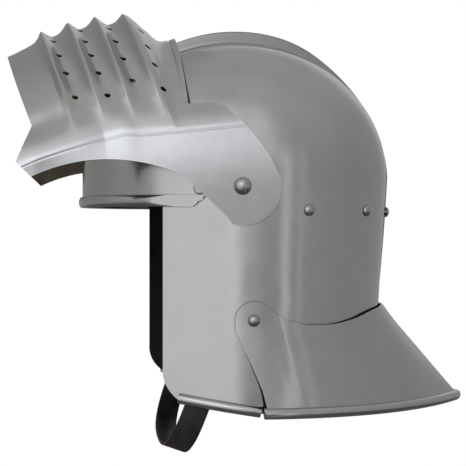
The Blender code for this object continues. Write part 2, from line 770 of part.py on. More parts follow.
def both_sides(angle):
    return (("left", angle), ("right", 2 * math.pi - angle))


def make_lining_rivets(skull, parts, cutters):
    for name, degrees in LINING_RIVETS:
        angle = math.radians(degrees)
        proud = COMB_NECK[0][1] * COMB_HEIGHT + GAP if degrees == 180 else 0.0
        normal = skull_normal(angle, RIVET_RING_DROP)
        point = skull_point(angle, RIVET_RING_DROP) + normal * (proud + GAP)
        profile = round_rivet_profile(RIVET_HEAD_RADIUS, proud + WALL + 2 * GAP, 0.8 * RIVET_HEAD_RADIUS)
        place_rivet(turned(name, profile, parts, DARK_STEEL), point, normal)
        drill(f"{name}_hole", point, normal, SHANK_RADIUS + GAP, DRILL_REACH, cutters, skull)


def make_pivot_rivets(skull, visor, parts, cutters):
    stack = WALL + ARM_GAP + WALL + 2 * GAP
    for side, sign in (("left", 1), ("right", -1)):
        normal = Vector((sign, 0, 0))
        point = PIVOT + normal * (ARM_FACE + GAP)
        extra = SKULL_HALF_WIDTH - skull_point(math.acos(PIVOT_SETBACK / SKULL_HALF_LENGTH), PIVOT_DROP).x
        profile = round_rivet_profile(PIVOT_HEAD_RADIUS, stack + extra + GAP, 0.8 * PIVOT_HEAD_RADIUS)
        place_rivet(turned(f"pivot_rivet_{side}", profile, parts, DARK_STEEL), point, normal)
        drill(f"pivot_hole_{side}", point, normal, SHANK_RADIUS + GAP, DRILL_REACH, cutters, skull, visor)


def make_tail_rivets(skull, tail, parts, cutters):
    stack = WALL + TAIL_GAP + WALL + 3 * GAP
    for side, sign in (("left", 1), ("right", -1)):
        normal = Vector((sign, 0, 0))
        height = EQUATOR_Z - TAIL_PIVOT_DROP
        point = Vector((sign * (SKULL_HALF_WIDTH + TAIL_GAP + WALL + 2 * GAP), TAIL_PIVOT_Y, height))
        profile = round_rivet_profile(RIVET_HEAD_RADIUS, stack + GAP, 0.8 * RIVET_HEAD_RADIUS)
        place_rivet(turned(f"tail_rivet_{side}", profile, parts, DARK_STEEL), point, normal)
        drill(f"tail_hole_{side}", point, normal, SHANK_RADIUS + GAP, DRILL_REACH, cutters, skull, tail)


def make_brow_rivets(skull, brow, parts, cutters):
    sunk = WALL + BROW_GAP / 2
    for side, angle in both_sides(BROW_RIVET_ANGLE):
        normal = skull_normal(angle, BROW_RIVET_DROP)
        point = skull_point(angle, BROW_RIVET_DROP) + normal * (BROW_GAP + WALL)
        profile = flush_rivet_profile(FLUSH_HEAD_RADIUS, sunk, BROW_GAP + 2 * WALL + GAP, FLUSH_HEAD_RADIUS)
        place_rivet(turned(f"brow_rivet_{side}", profile, parts, DARK_STEEL), point, normal)
        drill(f"brow_hole_{side}", point, normal, SHANK_RADIUS + GAP, DRILL_REACH, cutters, skull)
        drill(f"brow_seat_{side}", point, normal, FLUSH_HEAD_RADIUS + GAP, 4 * WALL, cutters, brow)


def strap_wall_x(along):
    """Half-width at which the strap lies flat on the cheek, that far down the lean from its rivet."""
    y = skull_point(STRAP_SIDE_ANGLE, STRAP_RIVET_DROP).y - math.sin(STRAP_LEAN) * along
    angle = math.acos(-y / SKULL_HALF_LENGTH)
    return skull_point(angle, STRAP_RIVET_DROP, -WALL - STRAP_GAP - STRAP_THICKNESS / 2).x


def strap_path():
    """Middle of the left half of the strap: out from the middle plane, and down the lean from its rivet."""
    edge = (CHEEK_LENGTH - STRAP_RIVET_DROP - ROLL_RADIUS) / math.cos(STRAP_LEAN)
    step = ROLL_RADIUS + STRAP_CLEARANCE
    path = [(strap_wall_x(-STRAP_END), -STRAP_END)]
    # share of the way down to the rolled edge, share of the step inwards past it
    for share, inwards in ((0.0, 0.0), (0.25, 0.1), (0.6, 0.6), (0.95, 1.0), (1.15, 1.1)):
        path.append((strap_wall_x(share * edge) - inwards * step, share * edge))
    free = path[-1][0]
    rest = STRAP_HANG - path[-1][1]
    # share of that half-width, share of the rest of the way down
    for width, down in ((0.97, 0.26), (0.90, 0.50), (0.76, 0.74), (0.56, 0.90), (0.30, 0.98), (0.0, 1.0)):
        path.append((width * free, STRAP_HANG - rest * (1 - down)))
    return path


def strap_rings():
    down = Vector((0, -math.sin(STRAP_LEAN), -math.cos(STRAP_LEAN)))
    back = Vector((0, math.cos(STRAP_LEAN), -math.sin(STRAP_LEAN)))
    rivet = skull_point(STRAP_SIDE_ANGLE, STRAP_RIVET_DROP)
    half = strap_path()
    whole = [(x, along, 1) for x, along in half] + [(-x, along, -1) for x, along in reversed(half[:-1])]
    slope = skull_point(STRAP_SIDE_ANGLE + 0.01, 0.1) - skull_point(STRAP_SIDE_ANGLE - 0.01, 0.1)
    rings = []
    for i, (x, along, side) in enumerate(whole):
        before, after = whole[max(i - 1, 0)], whole[min(i + 1, len(whole) - 1)]
        ahead = Vector((after[0] - before[0], 0, 0)) + down * (after[1] - before[1])
        twist = side * slope.x / slope.y * min(1.0, STRAP_TWIST * (1 - along / STRAP_HANG))
        across = (back + Vector((twist, 0, 0))).normalized()
        flat = ahead.cross(across).normalized()
        middle = Vector((x, rivet.y, rivet.z)) + down * along
        corners = ((-1, -1), (1, -1), (1, 1), (-1, 1))
        rings.append([
            middle + across * (STRAP_WIDTH / 2 * a) + flat * (STRAP_THICKNESS / 2 * b) for a, b in corners
        ])
    return rings


def make_strap(skull, parts, cutters):
    strap = add_object("chin_strap", loft(strap_rings()), parts, LEATHER)
    for side, angle in both_sides(STRAP_SIDE_ANGLE):
        normal = skull_normal(angle, STRAP_RIVET_DROP)
        point = skull_point(angle, STRAP_RIVET_DROP)
        stack = WALL + STRAP_GAP + STRAP_THICKNESS + 2 * GAP
        profile = flush_rivet_profile(STRAP_HEAD_RADIUS, WALL / 2, stack, 1.2 * STRAP_HEAD_RADIUS)
        place_rivet(turned(f"strap_rivet_{side}", profile, parts, DARK_STEEL), point, normal)
        drill(f"strap_hole_{side}", point, normal, SHANK_RADIUS + GAP, DRILL_REACH, cutters, skull, strap)
        drill(f"strap_seat_{side}", point, normal, STRAP_HEAD_RADIUS + GAP, WALL + GAP, cutters, skull)


def main():
    clear_scene()
    parts = new_collection("sallet")
    cutters = new_collection("cutters")
    skull = make_skull(parts, cutters)
    brow = make_brow_plate(parts, cutters)
    visor = make_visor(parts, cutters)
    tail = make_tail_plate(parts, cutters)
    make_lining_rivets(skull, parts, cutters)
    make_pivot_rivets(skull, visor, parts, cutters)
    make_tail_rivets(skull, tail, parts, cutters)
    make_brow_rivets(skull, brow, parts, cutters)
    make_strap(skull, parts, cutters)


main()
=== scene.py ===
import math

import bmesh
import bpy
from mathutils import Matrix, Vector


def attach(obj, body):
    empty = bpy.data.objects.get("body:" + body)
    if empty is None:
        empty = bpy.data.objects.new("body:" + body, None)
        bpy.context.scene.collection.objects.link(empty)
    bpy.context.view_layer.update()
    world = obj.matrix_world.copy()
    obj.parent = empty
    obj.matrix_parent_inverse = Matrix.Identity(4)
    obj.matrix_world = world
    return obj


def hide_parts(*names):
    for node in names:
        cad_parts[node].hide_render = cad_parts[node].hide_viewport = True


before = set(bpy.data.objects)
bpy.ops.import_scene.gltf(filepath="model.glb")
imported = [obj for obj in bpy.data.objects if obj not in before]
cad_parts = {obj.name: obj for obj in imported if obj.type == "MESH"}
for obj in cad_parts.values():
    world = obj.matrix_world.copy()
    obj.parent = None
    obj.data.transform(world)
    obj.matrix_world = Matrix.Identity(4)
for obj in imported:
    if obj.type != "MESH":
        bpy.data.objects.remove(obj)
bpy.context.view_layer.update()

# Sheet, gaps and rolled edges
WALL = 0.0015
GAP = 0.0003
BROW_GAP = 0.0008
TAIL_GAP = 0.0014
ARM_GAP = 0.0013
ROLL_RADIUS = 0.0040
ROLL_LIFT = 0.55

# Skull, comb, face opening and cheeks
SKULL_HALF_WIDTH = 0.097
SKULL_HALF_LENGTH = 0.120
DOME_HEIGHT = 0.105
NECK_DROP = 0.1005
NECK_TAPER = 0.0065
COMB_HEIGHT = 0.0110
COMB_HALF_WIDTH = 0.0042
BROW_EDGE_DROP = 0.0190
FACE_CORNER = 0.0040
FACE_SETBACK = 0.055
CHEEK_LENGTH = 0.1750
CHEEK_RISE = 0.0097
CHEEK_CHAMFER = 0.0120
CHEEK_BACK = 0.0120
TAIL_OVERLAP = 0.0115

# Brow plate
BROW_TOP_RISE = 0.0245
BROW_ROLL_DROP = 0.0212
BROW_ROLL_HALF_HEIGHT = 0.0042
BROW_ROLL_DEPTH = 0.0044
BROW_HALF_SPAN = math.radians(75)
BROW_END_TUCK = 0.0022       # the roll is flatter beside the arms, which swing over it
BROW_END_SHORTER = 0.0011    # the roll ends this much ahead of the solid's, for the same reason
BROW_JAGS = ((0.0007, 23), (0.0004, 61))
BROW_CUT_TOP = 0.0020
BROW_CUT_BOTTOM = 0.0150

# Visor, sized in its closed place
PIVOT_SETBACK = 0.0095
PIVOT_DROP = 0.0110
VISOR_RAISED = math.radians(84)
LIP_CLEARANCE = 0.0137
VISOR_BULGE = 0.0360
VISOR_DROP = 0.1590
FLUTE_DEPTH = 0.0072
FLUTE_VALLEY = 0.42          # share of the way to the next flute where the groove is deepest
FLUTE_RISE = 0.0210
CREASE_FORWARD = 0.0445
CREASE_BEND = 0.72
CREASE_SOFT_START = CREASE_BEND - 0.06
CREASE_DIP = 0.0120
CREASE_INSET = 0.0048
ARM_LEAN_START = -0.0030     # height above the pivot where the raised arm starts to lean in
ARM_RADIUS = 0.0277
NOTCH_DEPTH = 0.0035
CREASE_WAVE = 0.0016         # hammered wave in the side crease, ahead
CREASE_WAVE_LEVEL = 0.62
CREASE_WAVE_SPREAD = 0.05
CREASE_GROOVE = 0.00016      # depth of the fine line beside the crease
CREASE_GROOVE_PLACE = 0.032
CREASE_GROOVE_SPREAD = 0.012
LIP_FOLD_LEVEL = 0.207       # share of VISOR_DROP where the turned lip folds
LIP_FOLD_DEPTH = 0.0010      # cut into the sheet's outer face alone
LIP_FOLD_SPREAD = 0.0050
CREST_ROUNDING = 0.16
VENT_DIAMETER = 0.0046
PLAN_POWER = 1.4
FLUTE_FADE = (0.45, 0.93)
NOTCH_SHARE = 0.73
NOTCH_SPREAD = 0.09
NOTCH_START = 0.74

# Tail plate
TAIL_LENGTH = 0.0700
TAIL_FLARE = 0.0090
TAIL_EAR_RADIUS = 0.0132
TAIL_PIVOT_SETBACK = 0.0015
TAIL_PIVOT_FALL = 0.0064
TAIL_EDGE_RISE = 0.0025
TAIL_KEEL_DROP = 0.0055

# Rivets
PIVOT_HEAD_RADIUS = 0.0062
RIVET_HEAD_RADIUS = 0.0042
FLUSH_HEAD_RADIUS = 0.0046
STRAP_HEAD_RADIUS = 0.0032
SHANK_RADIUS = 0.0020
PEEN_HEIGHT = 0.0011
RIVET_RING_DROP = 0.0280
BROW_RIVET_DROP = 0.0125
STRAP_RIVET_RISE = 0.0330
BROW_RIVET_ANGLE = math.radians(71)

# Chin strap
STRAP_WIDTH = 0.0180
STRAP_THICKNESS = 0.0025
STRAP_LEAN = math.radians(20)
STRAP_HANG = 0.0720
STRAP_END = 0.0110
STRAP_CLEARANCE = 0.0016
STRAP_GAP = 0.0009
STRAP_SIDE_ANGLE = math.radians(75.5)
STRAP_TWIST = 2.2
STRAP_CORNER = 0.0005
STRAP_RAW_SIDES = (2, 3, 4, 8, 9, 10)    # the sides of the cross-section that are cut leather

# Worked out from the sizes above
EQUATOR_Z = WALL - DOME_HEIGHT
PIVOT = Vector((0, -PIVOT_SETBACK, EQUATOR_Z - PIVOT_DROP))
ARM_FACE = SKULL_HALF_WIDTH + ARM_GAP + WALL
BROW_REACH = SKULL_HALF_LENGTH - PIVOT_SETBACK
LIP_REACH = BROW_REACH + LIP_CLEARANCE
VISOR_REACH = BROW_REACH + VISOR_BULGE
CHEEK_FRONT_Y = FACE_SETBACK - SKULL_HALF_LENGTH
CHEEK_BOTTOM_Z = EQUATOR_Z - CHEEK_LENGTH
STRAP_RIVET_DROP = CHEEK_LENGTH - STRAP_RIVET_RISE
TAIL_HALF_WIDTH = SKULL_HALF_WIDTH + TAIL_FLARE
TAIL_PIVOT_Y = -TAIL_PIVOT_SETBACK
TAIL_PIVOT_DROP = NECK_DROP + TAIL_PIVOT_FALL
TAIL_EDGE_DROP = CHEEK_LENGTH - TAIL_EDGE_RISE
FAR = 0.4

COMB_ARC = (
    # degrees from the top, share of COMB_HEIGHT
    (-66, 0.00), (-50, 0.52), (-35, 0.74), (-20, 0.86), (-7, 0.97), (8, 1.00), (17, 0.95),
    (26, 0.80), (36, 0.54), (48, 0.32), (62, 0.22), (76, 0.24), (90, 0.34),
)
COMB_NECK = (
    # share of NECK_DROP, share of COMB_HEIGHT
    (0.00, 0.34), (0.30, 0.35), (0.65, 0.30), (0.92, 0.22), (0.98, 0.00),
)
COMB_COLUMNS = (
    # shares of COMB_HALF_WIDTH where the sheet has a column of points
    0, 0.12, 0.2, 0.26, 0.30, 0.33, 0.36, 0.39, 0.42, 0.46, 0.52, 0.6, 0.8, 1.0, 1.4, 2.0,
)
COMB_SECTION = (
    # share of COMB_HALF_WIDTH, share of the height
    (0.00, 1.00), (0.14, 1.00), (0.30, 0.94), (0.36, 0.62), (0.42, 0.20), (0.60, 0.08), (1.00, 0.00),
)
LIP_LEVELS = (
    # share of VISOR_DROP, share of LIP_REACH, share of FLUTE_RISE
    (-0.26, 1.000, -0.2), (0.00, 1.000, -0.2), (0.159, 1.000, -0.2), (0.205, 0.990, -0.1),
    (0.246, 0.984, 0.0),
)
SWELL_LEVELS = (
    # share of VISOR_DROP, share of VISOR_REACH, share of FLUTE_RISE
    (0.330, 0.914, 0.5),
)
FLUTE_CRESTS = (
    # share of VISOR_DROP, share of VISOR_REACH
    (0.4195, 1.000), (0.5585, 0.996), (0.6940, 0.976), (0.8290, 0.940),
)
CHIN_LEVELS = (
    # share of VISOR_DROP, share of VISOR_REACH, share of FLUTE_RISE
    (0.846, 0.905, 0.98), (0.864, 0.884, 0.95), (0.930, 0.850, 0.85), (1.000, 0.821, 0.75),
    (1.150, 0.770, 0.75),
)
FLUTE_ROWS = (
    # shares of the way from one crest to the next where the sheet has a row of points
    0.01, 0.022, 0.036, 0.052, 0.07, 0.095, 0.13, 0.18, 0.24, 0.31, 0.38, 0.44, 0.50, 0.56, 0.62, 0.68, 0.74,
    0.80, 0.85, 0.89, 0.92, 0.942, 0.96, 0.975, 0.988, 1.0,
)
SIDE_COLUMNS = (
    # shares of the way from the crease to the arm where the sheet has a column of points
    0.012, 0.022, 0.032, 0.042, 0.055, 0.075, 0.11, 0.16, 0.22, 0.30, 0.38, 0.46, 0.54, 0.62, 0.70, 0.80,
    0.9, 1.0,
)
VISOR_EDGE = (
    # share of VISOR_REACH forward, share of VISOR_DROP down
    (1.050, 0.167), (0.432, 0.196), (0.424, 0.072), (0.400, 0.030), (0.290, -0.050), (0.204, -0.103),
    (0.127, -0.141),
)
VISOR_ARM = ((-0.153, 0.073), (-0.051, 0.153), (0.041, 0.223))
VISOR_ARCH = ((0.093, 0.274), (0.196, 0.600), (0.146, 0.925))
VISOR_HEM = ((0.222, 0.984), (0.394, 0.902), (0.613, 0.955), (0.821, 1.000), (1.050, 1.050))
VENT_ROWS = (
    # crest below the row, share of the way up to the next, degrees on the rounded plan
    (3, 0.36, (19.5, 34, 46, 60)),
    (2, 0.38, (14, 28.5, 39.5, 50.5, 63.5)),
    (1, 0.38, (18.5, 32, 44, 56.5)),
    (0, 0.34, (10, 24, 38, 49.5, 62.5)),
)
TAIL_TOP = (
    # share of SKULL_HALF_LENGTH behind the crown's centre, share of NECK_DROP below the equator
    (0.120, 1.020), (0.215, 1.073), (0.345, 1.107), (0.480, 1.109), (0.630, 1.085), (0.815, 1.031),
    (0.975, 1.010),
)
TAIL_FRONT = (
    # share of TAIL_EAR_RADIUS behind the tail's rivets, share of the way down to its rolled edge
    (-0.970, 0.099), (-0.682, 0.244), (-0.152, 0.473), (0.455, 0.762), (0.795, 1.037),
)
LINING_RIVETS = (
    # name, degrees from the front
    ("skull_rivet_left", 110), ("skull_rivet_rear_left", 140), ("skull_rivet_rear", 180),
    ("skull_rivet_rear_right", 220), ("skull_rivet_right", 250),
)


def smooth_curve(rows):
    """A function through (place, value) rows that is smooth and never overshoots them."""
    xs = [row[0] for row in rows]
    ys = [row[1] for row in rows]
    steps = [(ys[i + 1] - ys[i]) / (xs[i + 1] - xs[i]) for i in range(len(xs) - 1)]
    slopes = [steps[0]]
    for a, b in zip(steps, steps[1:]):
        slopes.append(0.0 if a * b <= 0 else 2 * a * b / (a + b))
    slopes.append(steps[-1])

    def value(x):
        if x <= xs[0]:
            return ys[0]
        if x >= xs[-1]:
            return ys[-1]
        i = max(k for k in range(len(xs) - 1) if xs[k] <= x)
        width = xs[i + 1] - xs[i]
        t = (x - xs[i]) / width
        first = ys[i] * (1 + 2 * t) * (1 - t) ** 2 + ys[i + 1] * t * t * (3 - 2 * t)
        return first + width * (slopes[i] * t * (1 - t) ** 2 - slopes[i + 1] * t * t * (1 - t))

    return value


comb_arc = smooth_curve(COMB_ARC)
comb_neck = smooth_curve(COMB_NECK)
comb_section = smooth_curve(COMB_SECTION)


# Materials
# painted shade: the dark colour laid into gaps and contacts next to other metal
PAINTED_SHADE_COLOUR = (0.035, 0.032, 0.028)
# painted highlight: the light colour laid along edges, looking like worn steel
EDGE_HIGHLIGHT_COLOUR = (0.80, 0.80, 0.80)
PAINTED_SHADE_REACH = 0.0032         # how near other metal the steel is painted dark: painted shade in the gaps and contacts between parts
EDGE_HIGHLIGHT_REACH = 0.0007           # how near an edge the steel is painted bright: a painted highlight for a rounded edge's light rim, looking like edge wear


def new_nodes(name):
    material = bpy.data.materials.new(name)
    material.use_nodes = True
    tree = material.node_tree
    return material, tree, tree.nodes["Principled BSDF"]


def add(tree, kind, inputs=None, **settings):
    node = tree.nodes.new(kind)
    for key, value in settings.items():
        setattr(node, key, value)
    for key, value in (inputs or {}).items():
        if isinstance(value, bpy.types.NodeSocket):
            tree.links.new(value, node.inputs[key])
        else:
            node.inputs[key].default_value = value
    return node


def grain(tree, scale, detail, stretch=(1, 1, 1), distortion=0.0):
    """Noise in the object's own space, in waves per metre."""
    place = add(tree, "ShaderNodeTexCoord")
    shape = add(tree, "ShaderNodeMapping", {"Vector": place.outputs["Object"], "Scale": stretch})
    wave = add(tree, "ShaderNodeTexNoise", {"Vector": shape.outputs[0], "Scale": scale, "Detail": detail,
                                            "Distortion": distortion})
    return wave.outputs["Fac"]


def ramp(tree, source, low, high, start=0.3, end=0.7):
    node = add(tree, "ShaderNodeMapRange", {"Value": source, "From Min": start, "From Max": end,
                                            "To Min": low, "To Max": high})
    return node.outputs["Result"]


def colours(tree, source, first, second, start=0.3, end=0.7):
    node = add(tree, "ShaderNodeValToRGB", {"Fac": source})
    node.color_ramp.elements[0].position = start
    node.color_ramp.elements[0].color = (*first, 1)
    node.color_ramp.elements[1].position = end
    node.color_ramp.elements[1].color = (*second, 1)
    return node.outputs["Color"]


def bumps(tree, layers):
    """Chained bump nodes from (height, distance) layers."""
    normal = None
    for height, distance in layers:
        node = add(tree, "ShaderNodeBump", {"Height": height, "Distance": distance, "Strength": 1.0})
        if normal:
            tree.links.new(normal, node.inputs["Normal"])
        normal = node.outputs["Normal"]
    return normal


def nearness(tree, distance, inside):
    """Falls from 1 towards 0 next to other metal, or inside next to an edge, within the distance."""
    node = add(tree, "ShaderNodeAmbientOcclusion", {"Distance": distance}, samples=8, inside=inside,
               only_local=inside)
    return node.outputs["AO"]


def steel(name, light, dark, rough, wave=0.0007, brush=(60, 60, 900), brush_depth=0.000006):
    material, tree, shader = new_nodes(name)
    broad = grain(tree, 14, 3)
    cloudy = grain(tree, 45, 6, distortion=0.4)
    lines = grain(tree, 1.0, 3, stretch=brush)
    specks = grain(tree, 900, 2)
    mixed = add(tree, "ShaderNodeMix", {"Factor": 0.4, "A": cloudy, "B": specks})
    polish = colours(tree, mixed.outputs["Result"], dark, light, 0.25, 0.75)
    # lighter next to edges: a painted highlight for the light rim of a rounded edge, with the look of edge
    # wear
    edges = ramp(tree, nearness(tree, EDGE_HIGHLIGHT_REACH, True), 0.75, 0.0, 0.35, 0.8)
    worn = add(tree, "ShaderNodeMix", {"Factor": edges, 6: polish, 7: (*EDGE_HIGHLIGHT_COLOUR, 1)}, data_type="RGBA")
    # darker next to other metal: painted shade in contact gaps and crevices
    painted_shade = ramp(tree, nearness(tree, PAINTED_SHADE_REACH, False), 0.92, 0.0, 0.35, 0.80)
    shaded_colour = add(tree, "ShaderNodeMix", {"Factor": painted_shade, 6: worn.outputs[2], 7: (*PAINTED_SHADE_COLOUR, 1)},
                data_type="RGBA")
    shader.inputs["Metallic"].default_value = 1.0
    tree.links.new(shaded_colour.outputs[2], shader.inputs["Base Color"])
    tree.links.new(ramp(tree, cloudy, rough * 0.8, rough * 1.3), shader.inputs["Roughness"])
    normal = bumps(tree, ((broad, wave), (cloudy, wave * 0.10), (lines, brush_depth)))
    tree.links.new(normal, shader.inputs["Normal"])
    return material


def dark_steel(name, first, second, rough):
    material, tree, shader = new_nodes(name)
    patches = grain(tree, 60, 5, distortion=0.6)
    specks = grain(tree, 700, 2)
    shader.inputs["Metallic"].default_value = 0.3
    tree.links.new(colours(tree, patches, first, second), shader.inputs["Base Color"])
    tree.links.new(ramp(tree, specks, rough, rough + 0.15), shader.inputs["Roughness"])
    tree.links.new(bumps(tree, ((patches, 0.0003), (specks, 0.00004))), shader.inputs["Normal"])
    return material


def leather(name, first, second, rough):
    material, tree, shader = new_nodes(name)
    place = add(tree, "ShaderNodeTexCoord")
    pores = add(tree, "ShaderNodeTexVoronoi", {"Vector": place.outputs["Object"], "Scale": 1400.0})
    cloudy = grain(tree, 90, 5)
    tree.links.new(colours(tree, cloudy, first, second), shader.inputs["Base Color"])
    tree.links.new(ramp(tree, cloudy, rough, rough + 0.2), shader.inputs["Roughness"])
    normal = bumps(tree, ((pores.outputs["Distance"], 0.00012), (cloudy, 0.0004)))
    tree.links.new(normal, shader.inputs["Normal"])
    return material


STEEL = steel("satin_steel", (0.53, 0.53, 0.53), (0.46, 0.46, 0.46), 0.14)
VISOR_STEEL = steel("visor_steel", (0.54, 0.54, 0.54), (0.47, 0.47, 0.47), 0.19, wave=0.0004)
BROW_STEEL = steel("brow_steel", (0.53, 0.53, 0.53), (0.46, 0.46, 0.46), 0.22)
# a darker copy of the skull's steel for the comb: painted shade on the comb's flanks
SHADED_COMB_STEEL = steel("shaded_comb_steel", (0.31, 0.304, 0.294), (0.26, 0.255, 0.247), 0.24, wave=0.0004)
RIVET = steel("rivet_steel", (0.50, 0.495, 0.49), (0.33, 0.325, 0.32), 0.20, wave=0.0001)
INSIDE = dark_steel("blackened_inside", (0.010, 0.009, 0.008), (0.022, 0.019, 0.016), 0.55)
VISOR_INSIDE = dark_steel("dull_visor_inside", (0.044, 0.035, 0.022), (0.088, 0.072, 0.046), 0.5)
LEATHER = leather("black_leather", (0.006, 0.0055, 0.0055), (0.017, 0.015, 0.014), 0.42)
RAW_LEATHER = leather("raw_leather_edge", (0.035, 0.013, 0.008), (0.085, 0.035, 0.022), 0.75)


# Mesh helpers
def new_object(name, shape, materials):
    mesh = bpy.data.meshes.new(name)
    shape.to_mesh(mesh)
    shape.free()
    thing = bpy.data.objects.new(name, mesh)
    bpy.context.scene.collection.objects.link(thing)
    for material in materials:
        mesh.materials.append(material)
    return thing


def grid_faces(shape, rows, flip=False, slot=0):
    """Quads over rows of vertices."""
    for upper, lower in zip(rows, rows[1:]):
        for i in range(len(upper) - 1):
            corners = [lower[i], lower[i + 1], upper[i + 1], upper[i]]
            if flip:
                corners.reverse()
            shape.faces.new(corners).material_index = slot


def shell(name, outer, inner, materials, close_ends=True, close_sides=True):
    """A closed sheet between two grids of points."""
    shape = bmesh.new()
    front = [[shape.verts.new(p) for p in row] for row in outer]
    back = [[shape.verts.new(p) for p in row] for row in inner]
    grid_faces(shape, front)
    grid_faces(shape, back, flip=True, slot=1)
    rims = []
    if close_ends:
        rims += [(front[0], back[0]), (back[-1], front[-1])]
    if close_sides:
        rims.append(([r[-1] for r in front], [r[-1] for r in back]))
        rims.append(([r[0] for r in back], [r[0] for r in front]))
    for one, two in rims:
        for i in range(len(one) - 1):
            shape.faces.new((one[i], one[i + 1], two[i + 1], two[i]))
    bmesh.ops.remove_doubles(shape, verts=shape.verts, dist=0.000001)
    bmesh.ops.dissolve_degenerate(shape, edges=shape.edges, dist=0.0000005)
    bmesh.ops.recalc_face_normals(shape, faces=shape.faces)
    if shape.calc_volume(signed=True) < 0:
        bmesh.ops.reverse_faces(shape, faces=shape.faces)
    return new_object(name, shape, materials)


def loft(rings):
    """A closed bar through rings of equally many points."""
    shape = bmesh.new()
    rows = [[shape.verts.new(point) for point in ring] for ring in rings]
    for upper, lower in zip(rows, rows[1:]):
        for i in range(len(upper)):
            j = (i + 1) % len(upper)
            shape.faces.new((lower[i], lower[j], upper[j], upper[i]))
    shape.faces.new(rows[0])
    shape.faces.new(list(reversed(rows[-1])))
    bmesh.ops.recalc_face_normals(shape, faces=shape.faces)
    if shape.calc_volume(signed=True) < 0:
        bmesh.ops.reverse_faces(shape, faces=shape.faces)
    return shape


def tube(points, radius, sides=20):
    path = [Vector(p) for p in points]
    rings = []
    for i, point in enumerate(path):
        ahead = (path[min(i + 1, len(path) - 1)] - path[max(i - 1, 0)]).normalized()
        across = ahead.cross(Vector((0, 0, 1))).normalized()
        above = across.cross(ahead)
        turns = [2 * math.pi * (k + 0.5) / sides for k in range(sides)]
        rings.append([point + radius * (math.cos(a) * across + math.sin(a) * above) for a in turns])
    return loft(rings)


def prism(outline):
    return new_object("cutter", loft([[(x, y, z) for y, z in outline] for x in (-FAR, FAR)]), [])


def cut(thing, cutter, operation):
    step = thing.modifiers.new("cut", "BOOLEAN")
    step.operation = operation
    step.solver = "EXACT"
    step.object = cutter
    bake(thing)
    bpy.data.objects.remove(cutter, do_unlink=True)


def bake(thing):
    """Applies the piece's modifiers to its mesh."""
    bpy.context.view_layer.update()
    graph = bpy.context.evaluated_depsgraph_get()
    final = thing.evaluated_get(graph)
    mesh = bpy.data.meshes.new_from_object(final, preserve_all_data_layers=True, depsgraph=graph)
    old = thing.data
    thing.modifiers.clear()
    thing.data = mesh
    bpy.data.meshes.remove(old)


def join(target, shape, slot=0):
    """Adds a bmesh's faces to a piece, without a Boolean."""
    whole = bmesh.new()
    whole.from_mesh(target.data)
    spare = bpy.data.meshes.new("spare")
    for face in shape.faces:
        face.material_index = slot
    shape.to_mesh(spare)
    shape.free()
    whole.from_mesh(spare)
    bpy.data.meshes.remove(spare)
    whole.to_mesh(target.data)
    whole.free()


def finish_piece(thing, body, *nodes, slot="satin_steel", angle=32):
    thing.data.shade_smooth()
    thing.data.set_sharp_from_angle(angle=math.radians(angle))
    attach(thing, body)
    if nodes:
        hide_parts(*nodes)


def bend(start, middle, end, steps):
    control = [2 * m - (s + e) / 2 for s, m, e in zip(start, middle, end)]
    shares = [i / steps for i in range(steps + 1)]
    return [tuple((1 - t) ** 2 * s + 2 * t * (1 - t) * c + t * t * e for s, c, e in zip(start, control, end))
            for t in shares]


def arc(centre, radius, start, end, steps):
    angles = [math.radians(start + (end - start) * i / steps) for i in range(steps + 1)]
    return [(centre[0] + radius * math.cos(a), centre[1] + radius * math.sin(a)) for a in angles]


def mirrored(points):
    return [Vector((-p.x, p.y, p.z)) for p in reversed(points)]


def spread(start, end, count):
    return [start + (end - start) * i / count for i in range(count + 1)]


# Skull
def skull_point(angle, drop, out=0.0):
    half_width = SKULL_HALF_WIDTH + out
    half_length = SKULL_HALF_LENGTH + out
    shrink = 1.0
    if drop < 0:
        shrink = math.sqrt(max(0.0, 1 - (drop / (DOME_HEIGHT + out)) ** 2))
    elif math.cos(angle) < 0:
        half_length -= NECK_TAPER * drop / NECK_DROP
    x = half_width * math.sin(angle) * shrink
    y = -half_length * math.cos(angle) * shrink
    return Vector((x, y, EQUATOR_Z - drop))


def skull_normal(angle, drop):
    step = 0.001
    along = skull_point(angle + step, drop) - skull_point(angle - step, drop)
    down = skull_point(angle, drop + step) - skull_point(angle, drop - step)
    return down.cross(along).normalized()


def comb_lift(x, height, inset):
    width = COMB_HALF_WIDTH - inset
    return max(0.0, height - inset) * comb_section(abs(x) / width)


def skull_rows(out, inset):
    """Rows from the front's lower edge over the dome to the back's lower edge."""
    half = [math.asin(COMB_HALF_WIDTH * s / SKULL_HALF_WIDTH) for s in COMB_COLUMNS]
    half += spread(half[-1], math.pi / 2, 38)[1:]
    sides = [-a for a in reversed(half[1:])] + half
    drops = spread(0, 1.03 * CHEEK_LENGTH, 30)
    rows = []
    for drop in reversed(drops[1:]):
        rows.append([Vector(((SKULL_HALF_WIDTH + out) * math.sin(s), -(SKULL_HALF_LENGTH + out) * math.cos(s),
                             EQUATOR_Z - drop)) for s in sides])
    for k in range(73):
        fan = math.pi * k / 72
        height = COMB_HEIGHT * comb_arc(math.degrees(fan) - 90)
        away = Vector((0, -math.cos(fan) * DOME_HEIGHT, math.sin(fan) * SKULL_HALF_LENGTH)).normalized()
        row = []
        for s in sides:
            point = Vector(((SKULL_HALF_WIDTH + out) * math.sin(s),
                            -(SKULL_HALF_LENGTH + out) * math.cos(s) * math.cos(fan),
                            EQUATOR_Z + (DOME_HEIGHT + out) * math.cos(s) * math.sin(fan)))
            row.append(point + away * comb_lift(point.x, height, inset))
        rows.append(row)
    for drop in drops[1:]:
        height = COMB_HEIGHT * comb_neck(drop / NECK_DROP)
        row = []
        for s in sides:
            x = (SKULL_HALF_WIDTH + out) * math.sin(s)
            y = (SKULL_HALF_LENGTH + out - NECK_TAPER * drop / NECK_DROP) * math.cos(s)
            row.append(Vector((x, y + comb_lift(x, height, inset), EQUATOR_Z - drop)))
        rows.append(row)
    return rows


